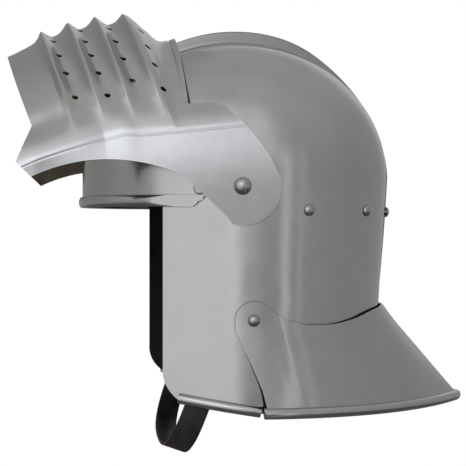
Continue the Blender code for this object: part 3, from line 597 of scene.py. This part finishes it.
def skull_outline():
    face_z = EQUATOR_Z - BROW_EDGE_DROP
    front_z = CHEEK_BOTTOM_Z + CHEEK_RISE
    corner = arc((CHEEK_FRONT_Y - FACE_CORNER, face_z - FACE_CORNER), FACE_CORNER, 90, 0, 8)
    front = (CHEEK_FRONT_Y, front_z + 2 * CHEEK_CHAMFER)
    middle = (CHEEK_FRONT_Y + 0.2 * CHEEK_CHAMFER, front_z + 0.9 * CHEEK_CHAMFER)
    chin = bend(front, middle, (CHEEK_FRONT_Y + CHEEK_CHAMFER, front_z), 12)
    neck = [(SKULL_HALF_LENGTH * y, EQUATOR_Z - NECK_DROP * drop - TAIL_OVERLAP) for y, drop in TAIL_TOP[2:]]
    heel = [(CHEEK_BACK, CHEEK_BOTTOM_Z), ((CHEEK_BACK + neck[0][0]) / 2, neck[0][1])]
    ends = [(FAR, neck[-1][1]), (FAR, -FAR), (-FAR, -FAR), (-FAR, face_z)]
    return corner + chin + heel + neck + ends


def cheek_roll():
    start = CHEEK_FRONT_Y + 0.93 * CHEEK_CHAMFER
    front_z = CHEEK_BOTTOM_Z + CHEEK_RISE
    points = []
    for share in spread(0.0, 1.0, 24):
        y = start + (0.35 * CHEEK_BACK - start) * share
        z = front_z - CHEEK_RISE * share + ROLL_LIFT * ROLL_RADIUS
        points.append(skull_point(math.acos(-y / SKULL_HALF_LENGTH), EQUATOR_Z - z, -WALL / 2))
    return points


def make_skull():
    outer = skull_rows(0.0, 0.0)
    inner = skull_rows(-WALL, WALL)
    skull = shell("skull_plate", outer, inner, [STEEL, INSIDE], close_sides=False)
    cut(skull, prism(skull_outline()), "DIFFERENCE")
    # the faces along the comb's middle take the darker comb steel: painted shade
    skull.data.materials.append(SHADED_COMB_STEEL)
    for face in skull.data.polygons:
        if face.material_index == 0 and abs(face.center.x) < 0.5 * COMB_HALF_WIDTH:
            face.material_index = 2
    for path in (cheek_roll(), mirrored(cheek_roll())):
        join(skull, tube(path, ROLL_RADIUS))
    finish_piece(skull, "helmet", "skull")
    return skull


# Brow plate
def brow_section():
    inner, outer = BROW_GAP, BROW_GAP + WALL
    middle = BROW_GAP + BROW_ROLL_DEPTH / 2
    roll_top = BROW_ROLL_DROP - BROW_ROLL_HALF_HEIGHT
    plate_rows = spread(-BROW_TOP_RISE, roll_top, 14)
    section = [(outer, drop) for drop in plate_rows]
    for degrees in spread(70, -160, 18):
        turn = math.radians(degrees)
        drop = BROW_ROLL_DROP - BROW_ROLL_HALF_HEIGHT * math.sin(turn)
        section.append((middle + BROW_ROLL_DEPTH / 2 * math.cos(turn), drop))
    section += [(inner, drop) for drop in reversed(plate_rows)]
    return section


def brow_end_outline():
    top = EQUATOR_Z - BROW_ROLL_DROP + 1.1 * BROW_ROLL_HALF_HEIGHT
    bottom = EQUATOR_Z - BROW_ROLL_DROP - 1.5 * BROW_ROLL_HALF_HEIGHT
    end = -SKULL_HALF_LENGTH * math.cos(BROW_HALF_SPAN)
    ragged = []
    for share in spread(0.0, 1.0, 12):
        jag = sum(size * math.sin(share * waves) for size, waves in BROW_JAGS)
        along = end - BROW_CUT_TOP - BROW_END_SHORTER + (BROW_CUT_TOP - BROW_CUT_BOTTOM) * share + jag
        ragged.append((along, top + (bottom - top) * share))
    return ragged + [(0, bottom), (0, top)]


def make_brow_plate():
    angles = spread(-BROW_HALF_SPAN, BROW_HALF_SPAN, 90)
    rings = []
    for angle in angles:
        tucked = min(1.0, max(0.0, (abs(angle) - math.radians(54)) / math.radians(9)))
        limit = BROW_GAP + BROW_ROLL_DEPTH - BROW_END_TUCK * tucked
        rings.append([skull_point(angle, drop, min(out, limit)) for out, drop in brow_section()])
    brow = new_object("forehead_plate", loft(rings), [BROW_STEEL, INSIDE])
    cut(brow, prism(brow_end_outline()), "DIFFERENCE")
    finish_piece(brow, "helmet", "brow_plate")
    return brow


# Visor
def flute_height(level):
    """Height of the flutes over their middle line at a level."""
    middle = FLUTE_DEPTH / 2
    first, last = FLUTE_CRESTS[0][0], FLUTE_CRESTS[-1][0]
    start = SWELL_LEVELS[-1][0]
    if level <= start:
        return 0.0
    if level < first:
        return middle * (level - start) / (first - start)
    if level >= last:
        return middle * max(0.0, 1 - (level - last) / (CHIN_LEVELS[0][0] - last))
    for (upper, _), (lower, _) in zip(FLUTE_CRESTS, FLUTE_CRESTS[1:]):
        if level <= lower:
            share = (lower - level) / (lower - upper)
            break
    if share < FLUTE_VALLEY:
        rise = (1 - rounded(share / FLUTE_VALLEY)) ** 1.3
    else:
        rise = (1 - rounded((1 - share) / (1 - FLUTE_VALLEY))) ** 2.6
    return middle - FLUTE_DEPTH * (1 - rise)


def rounded(away):
    """The distance from a crest, softened next to it so that the crest is rounded."""
    return min(1.0, math.sqrt(away * away + CREST_ROUNDING ** 2) - CREST_ROUNDING * (1 - away))


plain_reach = smooth_curve(
    [(v, r * LIP_REACH) for v, r, _ in LIP_LEVELS] + [(v, r * VISOR_REACH) for v, r, _ in SWELL_LEVELS]
    + [(v, r * VISOR_REACH - FLUTE_DEPTH / 2) for v, r in FLUTE_CRESTS]
    + [(v, r * VISOR_REACH) for v, r, _ in CHIN_LEVELS])
climb_at = smooth_curve(
    [(v, k) for v, _, k in LIP_LEVELS + SWELL_LEVELS] + [(v, 1.0) for v, _ in FLUTE_CRESTS]
    + [(v, k) for v, _, k in CHIN_LEVELS])


def visor_row(level):
    return level, plain_reach(level), flute_height(level), climb_at(level)


def crease_place(level):
    """How far the side crease is inside the arms' outer faces and ahead of the pivots at a level."""
    bent = max(0.0, (level - CREASE_BEND) / (1 - CREASE_BEND))
    soft = max(0.0, (level - CREASE_SOFT_START) / (1 - CREASE_SOFT_START)) ** 1.5
    wave = CREASE_WAVE * math.exp(-((level - CREASE_WAVE_LEVEL) / CREASE_WAVE_SPREAD) ** 2)
    return CREASE_INSET * max(0.0, 1 - bent), CREASE_FORWARD - CREASE_DIP * soft + wave


def plan_point(level, reach, degrees):
    turn = math.radians(degrees)
    side = max(0.0, math.sin(turn)) ** (2 / PLAN_POWER)
    front = max(0.0, math.cos(turn)) ** (2 / PLAN_POWER)
    inset, crease = crease_place(level)
    return (ARM_FACE - inset) * side, crease + (reach - crease) * front, 1 - front


def visor_point(row, degrees, out=0.0, folded=False):
    level, reach, flute, climb = row
    x, forward, share = plan_point(level, reach, degrees)
    before = plan_point(level, reach, max(0, degrees - 1))
    after = plan_point(level, reach, min(90, degrees + 1))
    outwards = Vector((after[0] - before[0], after[1] - before[1]))
    outwards = Vector((-outwards.y, outwards.x)).normalized() if degrees else Vector((0, 1))
    start, end = FLUTE_FADE
    fade = min(1.0, max(0.0, (end - share) / (end - start)))
    raise_by = flute * fade * fade * (3 - 2 * fade) + out
    if folded:
        fold = LIP_FOLD_DEPTH * math.exp(-((level - LIP_FOLD_LEVEL) / LIP_FOLD_SPREAD) ** 2)
        raise_by -= fold * min(1.0, max(0.0, 1.15 - 1.3 * share))
    depth = min(1.0, max(0.0, (level - NOTCH_START) / (1 - NOTCH_START)))
    raise_by -= NOTCH_DEPTH * depth * math.exp(-((share - NOTCH_SHARE) / NOTCH_SPREAD) ** 2)
    x += outwards.x * raise_by
    forward += outwards.y * raise_by
    down = level * VISOR_DROP - FLUTE_RISE * climb * share
    return Vector((x if degrees else 0.0, -forward, -down))


def visor_side_points(row):
    level, _, _, climb = row
    down = level * VISOR_DROP - FLUTE_RISE * climb
    inset, crease = crease_place(level)
    points = []
    for share in SIDE_COLUMNS:
        forward = crease + (ARM_LEAN_START - crease) * share
        groove = CREASE_GROOVE * math.exp(-((share - CREASE_GROOVE_PLACE) / CREASE_GROOVE_SPREAD) ** 2)
        points.append((ARM_FACE - inset * (1 - share) ** 2 - groove, forward))
    for forward in spread(ARM_LEAN_START, -1.2 * ARM_RADIUS, 6)[1:]:
        points.append((ARM_FACE, forward))
    return [Vector((x, -forward, -down)) for x, forward in points]


def visor_levels():
    fold = [LIP_FOLD_LEVEL + LIP_FOLD_SPREAD * s for s in spread(-2.2, 2.2, 14)]
    levels = spread(-0.26, fold[0], 18)[:-1] + fold + spread(fold[-1], SWELL_LEVELS[-1][0], 5)[1:]
    levels += spread(SWELL_LEVELS[-1][0], FLUTE_CRESTS[0][0], 8)[1:]
    for (upper, _), (lower, _) in zip(FLUTE_CRESTS, FLUTE_CRESTS[1:]):
        levels += [upper + (lower - upper) * s for s in FLUTE_ROWS]
    levels += spread(FLUTE_CRESTS[-1][0], CHIN_LEVELS[0][0], 4)[1:]
    levels += spread(CHIN_LEVELS[0][0], 1.15, 16)[1:]
    return levels


def visor_outline():
    def place(table):
        return [(-VISOR_REACH * forward, -VISOR_DROP * down) for forward, down in table]

    disc = arc((0, 0), ARM_RADIUS, 100, -20, 32)
    return place(VISOR_EDGE) + disc + place(VISOR_ARM) + bend(*place(VISOR_ARCH), 24) + place(VISOR_HEM)


def vent_cutter():
    shape = bmesh.new()
    for crest, share, places in VENT_ROWS:
        lower = FLUTE_CRESTS[crest][0]
        upper = FLUTE_CRESTS[crest - 1][0] if crest else LIP_LEVELS[-1][0]
        row = visor_row(lower + (upper - lower) * share)
        for degrees in places:
            for flip in (1, -1):
                a, b = (visor_point(row, degrees, out) for out in (-FLUTE_DEPTH, FLUTE_DEPTH))
                a.x, b.x = flip * a.x, flip * b.x
                turn = (b - a).to_track_quat("Z", "Y").to_matrix().to_4x4()
                bmesh.ops.create_cone(shape, cap_ends=True, segments=16, radius1=VENT_DIAMETER / 2,
                                      radius2=VENT_DIAMETER / 2, depth=(b - a).length,
                                      matrix=Matrix.Translation((a + b) / 2) @ turn)
    for face in shape.faces:
        face.material_index = 1
    return new_object("cutter", shape, [STEEL, INSIDE])


def visor_rows(folded):
    rows = []
    for level in visor_levels():
        row = visor_row(level)
        left = [visor_point(row, d, 0.0, folded) for d in spread(0, 90, 44)] + visor_side_points(row)
        rows.append([Vector((-p.x, p.y, p.z)) for p in reversed(left[1:])] + left)
    return rows


def make_visor():
    outer = visor_rows(True)
    inner = offset_grid(visor_rows(False), -WALL)
    visor = shell("bellows_visor", outer, inner, [VISOR_STEEL, VISOR_INSIDE])
    cut(visor, prism(visor_outline()), "INTERSECT")
    cut(visor, vent_cutter(), "DIFFERENCE")
    visor.data.transform(Matrix.Translation(PIVOT) @ Matrix.Rotation(-VISOR_RAISED, 4, "X"))
    finish_piece(visor, "visor", "visor")
    return visor


def offset_grid(rows, out):
    """The grid moved along its own normals; out is away from the middle of the part."""
    moved = []
    for i, row in enumerate(rows):
        new = []
        for j, point in enumerate(row):
            down = rows[min(i + 1, len(rows) - 1)][j] - rows[max(i - 1, 0)][j]
            side = row[min(j + 1, len(row) - 1)] - row[max(j - 1, 0)]
            normal = side.cross(down)
            if normal.length < 1e-12:
                normal = Vector((0, 0, 1))
            normal.normalize()
            new.append(point + normal * out)
        moved.append(new)
    middle = rows[len(rows) // 2][len(rows[0]) // 2]
    probe = moved[len(rows) // 2][len(rows[0]) // 2]
    centre = sum((p for row in rows for p in (row[0], row[-1])), Vector()) / (2 * len(rows))
    if (probe - centre).length > (middle - centre).length and out < 0:
        moved = [[p - (q - p) for p, q in zip(a, b)] for a, b in zip(rows, moved)]
    return moved


# Tail plate
tail_edge = smooth_curve(TAIL_TOP)


def tail_edge_drop(share):
    if share <= TAIL_TOP[0][0]:
        return NECK_DROP * TAIL_TOP[2][1]
    return NECK_DROP * max(tail_edge(share), TAIL_TOP[-1][1])


def tail_bottom(share):
    tip = SKULL_HALF_LENGTH - NECK_TAPER + TAIL_LENGTH
    start = (TAIL_HALF_WIDTH, TAIL_PIVOT_Y - 0.23 * TAIL_EAR_RADIUS)
    control = (0.95 * TAIL_HALF_WIDTH, 0.60 * tip)
    x = (1 - share) ** 2 * start[0] + 2 * share * (1 - share) * control[0]
    y = (1 - share) ** 2 * start[1] + 2 * share * (1 - share) * control[1] + share ** 2 * tip
    return Vector((x, y, EQUATOR_Z - TAIL_EDGE_DROP - TAIL_KEEL_DROP * share))


def tail_grid(shift):
    start = math.radians(78.75)
    columns = []
    for share in spread(0.0, 1.0, 60):
        angle = start + (math.pi - start) * share
        top = skull_point(angle, TAIL_PIVOT_DROP - 1.2 * TAIL_EAR_RADIUS, TAIL_GAP + WALL + shift)
        fold = skull_point(angle, tail_edge_drop(-math.cos(angle)) - 2 * GAP, TAIL_GAP + WALL + shift)
        bottom = tail_bottom(share)
        flat = Vector((bottom.x, bottom.y, 0)).normalized()
        bottom += flat * shift
        if share == 1.0:
            top.x = fold.x = bottom.x = 0.0
        upper = [top.lerp(fold, s) for s in spread(0.0, 1.0, 4)]
        columns.append(upper + [fold.lerp(bottom, s) for s in spread(0, 1, 16)[1:]])
    left = [list(row) for row in zip(*columns)]
    return [row + [Vector((-p.x, p.y, p.z)) for p in reversed(row[:-1])] for row in left]


def tail_outline():
    pivot = (TAIL_PIVOT_Y, EQUATOR_Z - TAIL_PIVOT_DROP)
    ear = arc(pivot, TAIL_EAR_RADIUS, 195, 55, 24)
    places = spread(TAIL_TOP[0][0], TAIL_TOP[-1][0], 40)
    top = [(SKULL_HALF_LENGTH * y, EQUATOR_Z - NECK_DROP * tail_edge(y)) for y in places]
    fall = TAIL_EDGE_DROP - TAIL_PIVOT_DROP
    front = [(pivot[0] + TAIL_EAR_RADIUS * y, pivot[1] - fall * drop) for y, drop in reversed(TAIL_FRONT)]
    ends = [(FAR, top[-1][1]), (FAR, -FAR), (front[0][0], -FAR)]
    return ear + top + ends + front


def tail_roll():
    start = 0.045
    left = [tail_bottom(start + (1 - start) * s) for s in spread(0, 1, 40)]
    left = [Vector((p.x - WALL / 2, p.y, p.z)) for p in left[:-1]] + [left[-1] - Vector((0, WALL, 0))]
    left[-1].x = 0.0
    return left + mirrored(left)[1:]


def make_tail_plate():
    tail = shell("tail_guard", tail_grid(0.0), tail_grid(-WALL), [STEEL, VISOR_INSIDE])
    cut(tail, prism(tail_outline()), "INTERSECT")
    join(tail, tube(tail_roll(), ROLL_RADIUS))
    finish_piece(tail, "tail", "tail_plate")
    return tail


# Rivets
def lathe(profile, steps=28):
    shape = bmesh.new()
    turns = [2 * math.pi * k / steps for k in range(steps)]
    rings = [[shape.verts.new((r * math.cos(a), r * math.sin(a), h)) for a in turns] for r, h in profile]
    for upper, lower in zip(rings, rings[1:]):
        for i in range(steps):
            j = (i + 1) % steps
            shape.faces.new((lower[i], lower[j], upper[j], upper[i]))
    bmesh.ops.remove_doubles(shape, verts=shape.verts, dist=0.000001)
    bmesh.ops.recalc_face_normals(shape, faces=shape.faces)
    if shape.calc_volume(signed=True) < 0:
        bmesh.ops.reverse_faces(shape, faces=shape.faces)
    return shape


def peened_end(stack, peen):
    return [(peen, -stack), (0.95 * peen, -stack - 0.6 * PEEN_HEIGHT), (0.8 * peen, -stack - PEEN_HEIGHT),
            (0, -stack - PEEN_HEIGHT)]


def round_rivet(head, stack, peen):
    height = 0.62 * head
    dome = [(head * math.sin(math.radians(a)), height * math.cos(math.radians(a)))
            for a in (0, 10, 20, 30, 40, 50, 60, 70, 80, 88)]
    return lathe(dome + [(head, 0), (SHANK_RADIUS, 0), (SHANK_RADIUS, -stack)] + peened_end(stack, peen))


def flush_rivet(head, sunk, stack, peen):
    rim = [(0, 0), (0.5 * head, 0), (0.96 * head, -0.00003), (head, -0.0002), (head, -sunk)]
    return lathe(rim + [(SHANK_RADIUS, -sunk), (SHANK_RADIUS, -stack)] + peened_end(stack, peen))


def place_rivet(name, node, shape, point, normal, material=RIVET):
    turn = normal.to_track_quat("Z", "Y").to_matrix().to_4x4()
    bmesh.ops.transform(shape, matrix=Matrix.Translation(point) @ turn, verts=shape.verts)
    rivet = new_object(name, shape, [material])
    finish_piece(rivet, "helmet", node, slot="rivet_steel", angle=50)


def make_rivets():
    for node, degrees in LINING_RIVETS:
        angle = math.radians(degrees)
        proud = 0.35 * COMB_HEIGHT + GAP if degrees == 180 else 0.0
        normal = skull_normal(angle, RIVET_RING_DROP)
        point = skull_point(angle, RIVET_RING_DROP) + normal * (proud + GAP / 2)
        shape = round_rivet(RIVET_HEAD_RADIUS, proud + WALL + 2 * GAP, 0.8 * RIVET_HEAD_RADIUS)
        place_rivet(node.replace("skull", "lining"), node, shape, point, normal)
    for side, sign in (("left", 1), ("right", -1)):
        normal = Vector((sign, 0, 0))
        extra = SKULL_HALF_WIDTH - skull_point(math.acos(PIVOT_SETBACK / SKULL_HALF_LENGTH), PIVOT_DROP).x
        stack = WALL + ARM_GAP + WALL + 3 * GAP + extra
        shape = round_rivet(PIVOT_HEAD_RADIUS, stack, 0.8 * PIVOT_HEAD_RADIUS)
        point = PIVOT + normal * (ARM_FACE + GAP)
        place_rivet(f"visor_rivet_{side}", f"pivot_rivet_{side}", shape, point, normal)
        stack = WALL + TAIL_GAP + WALL + 4 * GAP
        shape = round_rivet(RIVET_HEAD_RADIUS, stack, 0.8 * RIVET_HEAD_RADIUS)
        outwards = SKULL_HALF_WIDTH + TAIL_GAP + WALL + 2 * GAP
        point = Vector((sign * outwards, TAIL_PIVOT_Y, EQUATOR_Z - TAIL_PIVOT_DROP))
        place_rivet(f"ear_rivet_{side}", f"tail_rivet_{side}", shape, point, normal)
        angle = BROW_RIVET_ANGLE if sign > 0 else 2 * math.pi - BROW_RIVET_ANGLE
        normal = skull_normal(angle, BROW_RIVET_DROP)
        stack = BROW_GAP + 2 * WALL + GAP
        shape = flush_rivet(FLUSH_HEAD_RADIUS, WALL + BROW_GAP / 2, stack, FLUSH_HEAD_RADIUS)
        point = skull_point(angle, BROW_RIVET_DROP) + normal * (BROW_GAP + WALL + 0.0001)
        place_rivet(f"forehead_rivet_{side}", f"brow_rivet_{side}", shape, point, normal)
        angle = STRAP_SIDE_ANGLE if sign > 0 else 2 * math.pi - STRAP_SIDE_ANGLE
        normal = skull_normal(angle, STRAP_RIVET_DROP)
        stack = WALL + STRAP_GAP + STRAP_THICKNESS + 2 * GAP
        shape = flush_rivet(STRAP_HEAD_RADIUS, WALL / 2, stack, 1.2 * STRAP_HEAD_RADIUS)
        point = skull_point(angle, STRAP_RIVET_DROP) + normal * 0.0001
        place_rivet(f"chin_rivet_{side}", f"strap_rivet_{side}", shape, point, normal, STEEL)


# Chin strap
def strap_wall_x(along):
    y = skull_point(STRAP_SIDE_ANGLE, STRAP_RIVET_DROP).y - math.sin(STRAP_LEAN) * along
    angle = math.acos(-y / SKULL_HALF_LENGTH)
    return skull_point(angle, STRAP_RIVET_DROP, -WALL - STRAP_GAP - STRAP_THICKNESS / 2).x


def strap_path():
    edge = (CHEEK_LENGTH - STRAP_RIVET_DROP - ROLL_RADIUS) / math.cos(STRAP_LEAN)
    step = ROLL_RADIUS + STRAP_CLEARANCE
    path = [(strap_wall_x(-STRAP_END), -STRAP_END)]
    for share, inwards in ((0.0, 0.0), (0.25, 0.1), (0.6, 0.6), (0.95, 1.0), (1.15, 1.1)):
        path.append((strap_wall_x(share * edge) - inwards * step, share * edge))
    free = path[-1][0]
    rest = STRAP_HANG - path[-1][1]
    for width, down in ((0.97, 0.26), (0.90, 0.50), (0.76, 0.74), (0.56, 0.90), (0.30, 0.98), (0.0, 1.0)):
        path.append((width * free, STRAP_HANG - rest * (1 - down)))
    return path


def strap_section():
    """Cross-section of the strap with rounded, slightly worn corners."""
    w, t, r = STRAP_WIDTH / 2, STRAP_THICKNESS / 2, STRAP_CORNER
    s = 0.3 * r
    return [(-w + r, -t), (w - r, -t), (w - s, -t + s), (w, -t + r), (w, t - r), (w - s, t - s),
            (w - r, t), (-w + r, t), (-w + s, t - s), (-w, t - r), (-w, -t + r), (-w + s, -t + s)]


def make_strap():
    down = Vector((0, -math.sin(STRAP_LEAN), -math.cos(STRAP_LEAN)))
    back = Vector((0, math.cos(STRAP_LEAN), -math.sin(STRAP_LEAN)))
    rivet = skull_point(STRAP_SIDE_ANGLE, STRAP_RIVET_DROP)
    half = strap_path()
    whole = [(x, along, 1) for x, along in half] + [(-x, along, -1) for x, along in reversed(half[:-1])]
    whole = fine_path(whole, 6)
    slope = skull_point(STRAP_SIDE_ANGLE + 0.01, 0.1) - skull_point(STRAP_SIDE_ANGLE - 0.01, 0.1)
    rings = []
    for i, (x, along, side) in enumerate(whole):
        before, after = whole[max(i - 1, 0)], whole[min(i + 1, len(whole) - 1)]
        ahead = Vector((after[0] - before[0], 0, 0)) + down * (after[1] - before[1])
        twist = side * slope.x / slope.y * min(1.0, max(0.0, STRAP_TWIST * (1 - along / STRAP_HANG)))
        across = (back + Vector((twist, 0, 0))).normalized()
        flat = ahead.cross(across).normalized()
        middle = Vector((x, rivet.y, rivet.z)) + down * along
        rings.append([middle + across * a + flat * b for a, b in strap_section()])
    shape = loft(rings)
    strap = new_object("leather_chin_strap", shape, [LEATHER, RAW_LEATHER])
    sides = len(strap_section())
    for face in strap.data.polygons:
        if face.index < (len(rings) - 1) * sides and face.index % sides in STRAP_RAW_SIDES:
            face.material_index = 1
    finish_piece(strap, "helmet", "chin_strap", slot="black_leather", angle=60)


def fine_path(points, steps):
    """A smooth curve through the points, with that many steps between neighbours."""
    fine = []
    for i in range(len(points) - 1):
        p0, p1, p2, p3 = (points[min(max(i + k, 0), len(points) - 1)] for k in (-1, 0, 1, 2))
        for s in range(steps):
            t = s / steps
            fine.append(tuple(0.5 * (2 * b + (c - a) * t + (2 * a - 5 * b + 4 * c - d) * t * t
                                     + (3 * b - a - 3 * c + d) * t ** 3)
                              for a, b, c, d in zip(p0, p1, p2, p3)))
    fine.append(points[-1])
    return fine


# Studio
CAMERA_LENS = 86.9
CAMERA_SHIFT = -9 / 466
CAMERA_TURN = math.radians(7.7)
CAMERA_AIM = (0, -0.003, -0.1415)
CAMERA_DISTANCE = 0.9
FLOOR_RADIUS = 6.0
FLOOR_DROP = 1.65


def panel(tree, place, turns, rises, strength):
    """A soft-edged bright patch of the room: (start, end, softness) in degrees of turn and of rise."""
    total = None
    for angle, (start, end, soft) in zip(place, (turns, rises)):
        for a, b in ((start - soft, start + soft), (end + soft, end - soft)):
            limits = {"Value": angle, "From Min": min(a, b), "From Max": max(a, b)}
            limits.update({"To Min": float(a > b), "To Max": float(a < b)})
            edge = add(tree, "ShaderNodeMapRange", limits, interpolation_type="SMOOTHSTEP")
            factor = edge.outputs["Result"]
            if total is None:
                total = add(tree, "ShaderNodeMath", {0: factor, 1: strength}, operation="MULTIPLY").outputs[0]
            else:
                total = add(tree, "ShaderNodeMath", {0: factor, 1: total}, operation="MULTIPLY").outputs[0]
    return total


ROOM = (
    # turns and rises from, to and softness in degrees, strength, colour; turn 0 is +X and 90 is the front
    ((-400, 400, 1), (-400, 400, 1), 0.12, (1.0, 0.97, 0.93)),
    ((-400, 400, 1), (-14, 400, 9), 0.24, (1.0, 0.99, 0.965)),
    ((-400, 400, 1), (35, 400, 35), 0.14, (1.0, 0.99, 0.97)),
    ((-62, 95, 30), (-14, 400, 9), 0.06, (1.0, 0.99, 0.97)),
    ((105, 190, 20), (5, 62, 14), -0.08, (1.0, 1.0, 1.0)),
    ((0, 56, 6), (-28, 52, 16), 0.56, (0.95, 0.98, 1.04)),
    ((60, 84, 20), (12, 46, 12), 0.26, (0.96, 0.98, 1.02)),
    ((-24, -1, 8), (8, 54, 13), 0.32, (0.96, 0.98, 1.03)),
    ((-7, 30, 5), (14, 33, 6), 0.78, (0.93, 0.97, 1.10)),
    ((-12, 6, 4), (-6, 14, 6), 0.14, (0.95, 0.98, 1.05)),
    ((-32, -26, 2), (-60, 18, 8), 0.34, (1.0, 1.0, 1.0)),
    ((-41, -38, 1.5), (-60, 18, 8), 0.16, (1.0, 1.0, 1.0)),
    ((-178, -138, 10), (8, 36, 10), 0.20, (1.0, 1.0, 1.0)),
)


def make_world():
    """A softly lit plain room for the steel to mirror, seen by the camera itself as white."""
    world = bpy.data.worlds.new("studio")
    world.use_nodes = True
    tree = world.node_tree
    tree.nodes.clear()
    direction = add(tree, "ShaderNodeTexCoord").outputs["Generated"]
    parts = add(tree, "ShaderNodeSeparateXYZ", {0: direction}).outputs
    left = add(tree, "ShaderNodeMath", {0: parts["Y"], 1: -1.0}, operation="MULTIPLY").outputs[0]
    turn = add(tree, "ShaderNodeMath", {0: left, 1: parts["X"]}, operation="ARCTAN2").outputs[0]
    rise = add(tree, "ShaderNodeMath", {0: parts["Z"]}, operation="ARCSINE").outputs[0]
    place = [add(tree, "ShaderNodeMath", {0: angle}, operation="DEGREES").outputs[0]
             for angle in (turn, rise)]
    light = None
    for turns, rises, strength, colour in ROOM:
        patch = panel(tree, place, turns, rises, strength)
        tint = add(tree, "ShaderNodeVectorMath", {0: colour, "Scale": patch}, operation="SCALE").outputs[0]
        if light is None:
            light = tint
        else:
            light = add(tree, "ShaderNodeVectorMath", {0: light, 1: tint}, operation="ADD").outputs[0]
    room = add(tree, "ShaderNodeBackground", {"Color": light, "Strength": 1.0})
    plain = add(tree, "ShaderNodeBackground", {"Color": (1, 1, 1, 1), "Strength": 1.0})
    seen = add(tree, "ShaderNodeLightPath").outputs["Is Camera Ray"]
    mixed = add(tree, "ShaderNodeMixShader", {0: seen, 1: room.outputs[0], 2: plain.outputs[0]})
    add(tree, "ShaderNodeOutputWorld", {"Surface": mixed.outputs[0]})
    bpy.context.scene.world = world


def make_camera():
    lens = bpy.data.cameras.new("camera")
    lens.sensor_width = 36.0
    lens.lens = CAMERA_LENS
    lens.shift_y = CAMERA_SHIFT
    camera = bpy.data.objects.new("camera", lens)
    away = Vector((math.cos(CAMERA_TURN), -math.sin(CAMERA_TURN), 0))
    camera.location = Vector(CAMERA_AIM) + CAMERA_DISTANCE * away
    camera.rotation_mode = "QUATERNION"
    camera.rotation_quaternion = away.to_track_quat("Z", "Y")
    bpy.context.scene.collection.objects.link(camera)
    bpy.context.scene.camera = camera


def make_floor():
    shape = bmesh.new()
    bmesh.ops.create_circle(shape, cap_ends=True, segments=96, radius=FLOOR_RADIUS)
    bmesh.ops.translate(shape, verts=shape.verts, vec=(0, 0, -FLOOR_DROP))
    material, tree, shader = new_nodes("pale_floor")
    shader.inputs["Base Color"].default_value = (0.86, 0.86, 0.86, 1)
    shader.inputs["Roughness"].default_value = 0.9
    shader.inputs["Emission Color"].default_value = (1, 1, 1, 1)
    shader.inputs["Emission Strength"].default_value = 0.4
    tree.links.new(bumps(tree, ((grain(tree, 300, 3), 0.0002),)), shader.inputs["Normal"])
    floor = new_object("floor", shape, [material])
    floor.visible_glossy = False


bpy.context.scene.view_settings.view_transform = "Standard"
make_camera()
make_floor()
make_world()
make_skull()
make_brow_plate()
make_visor()
make_tail_plate()
make_rivets()
make_strap()

bpy.context.view_layer.update()
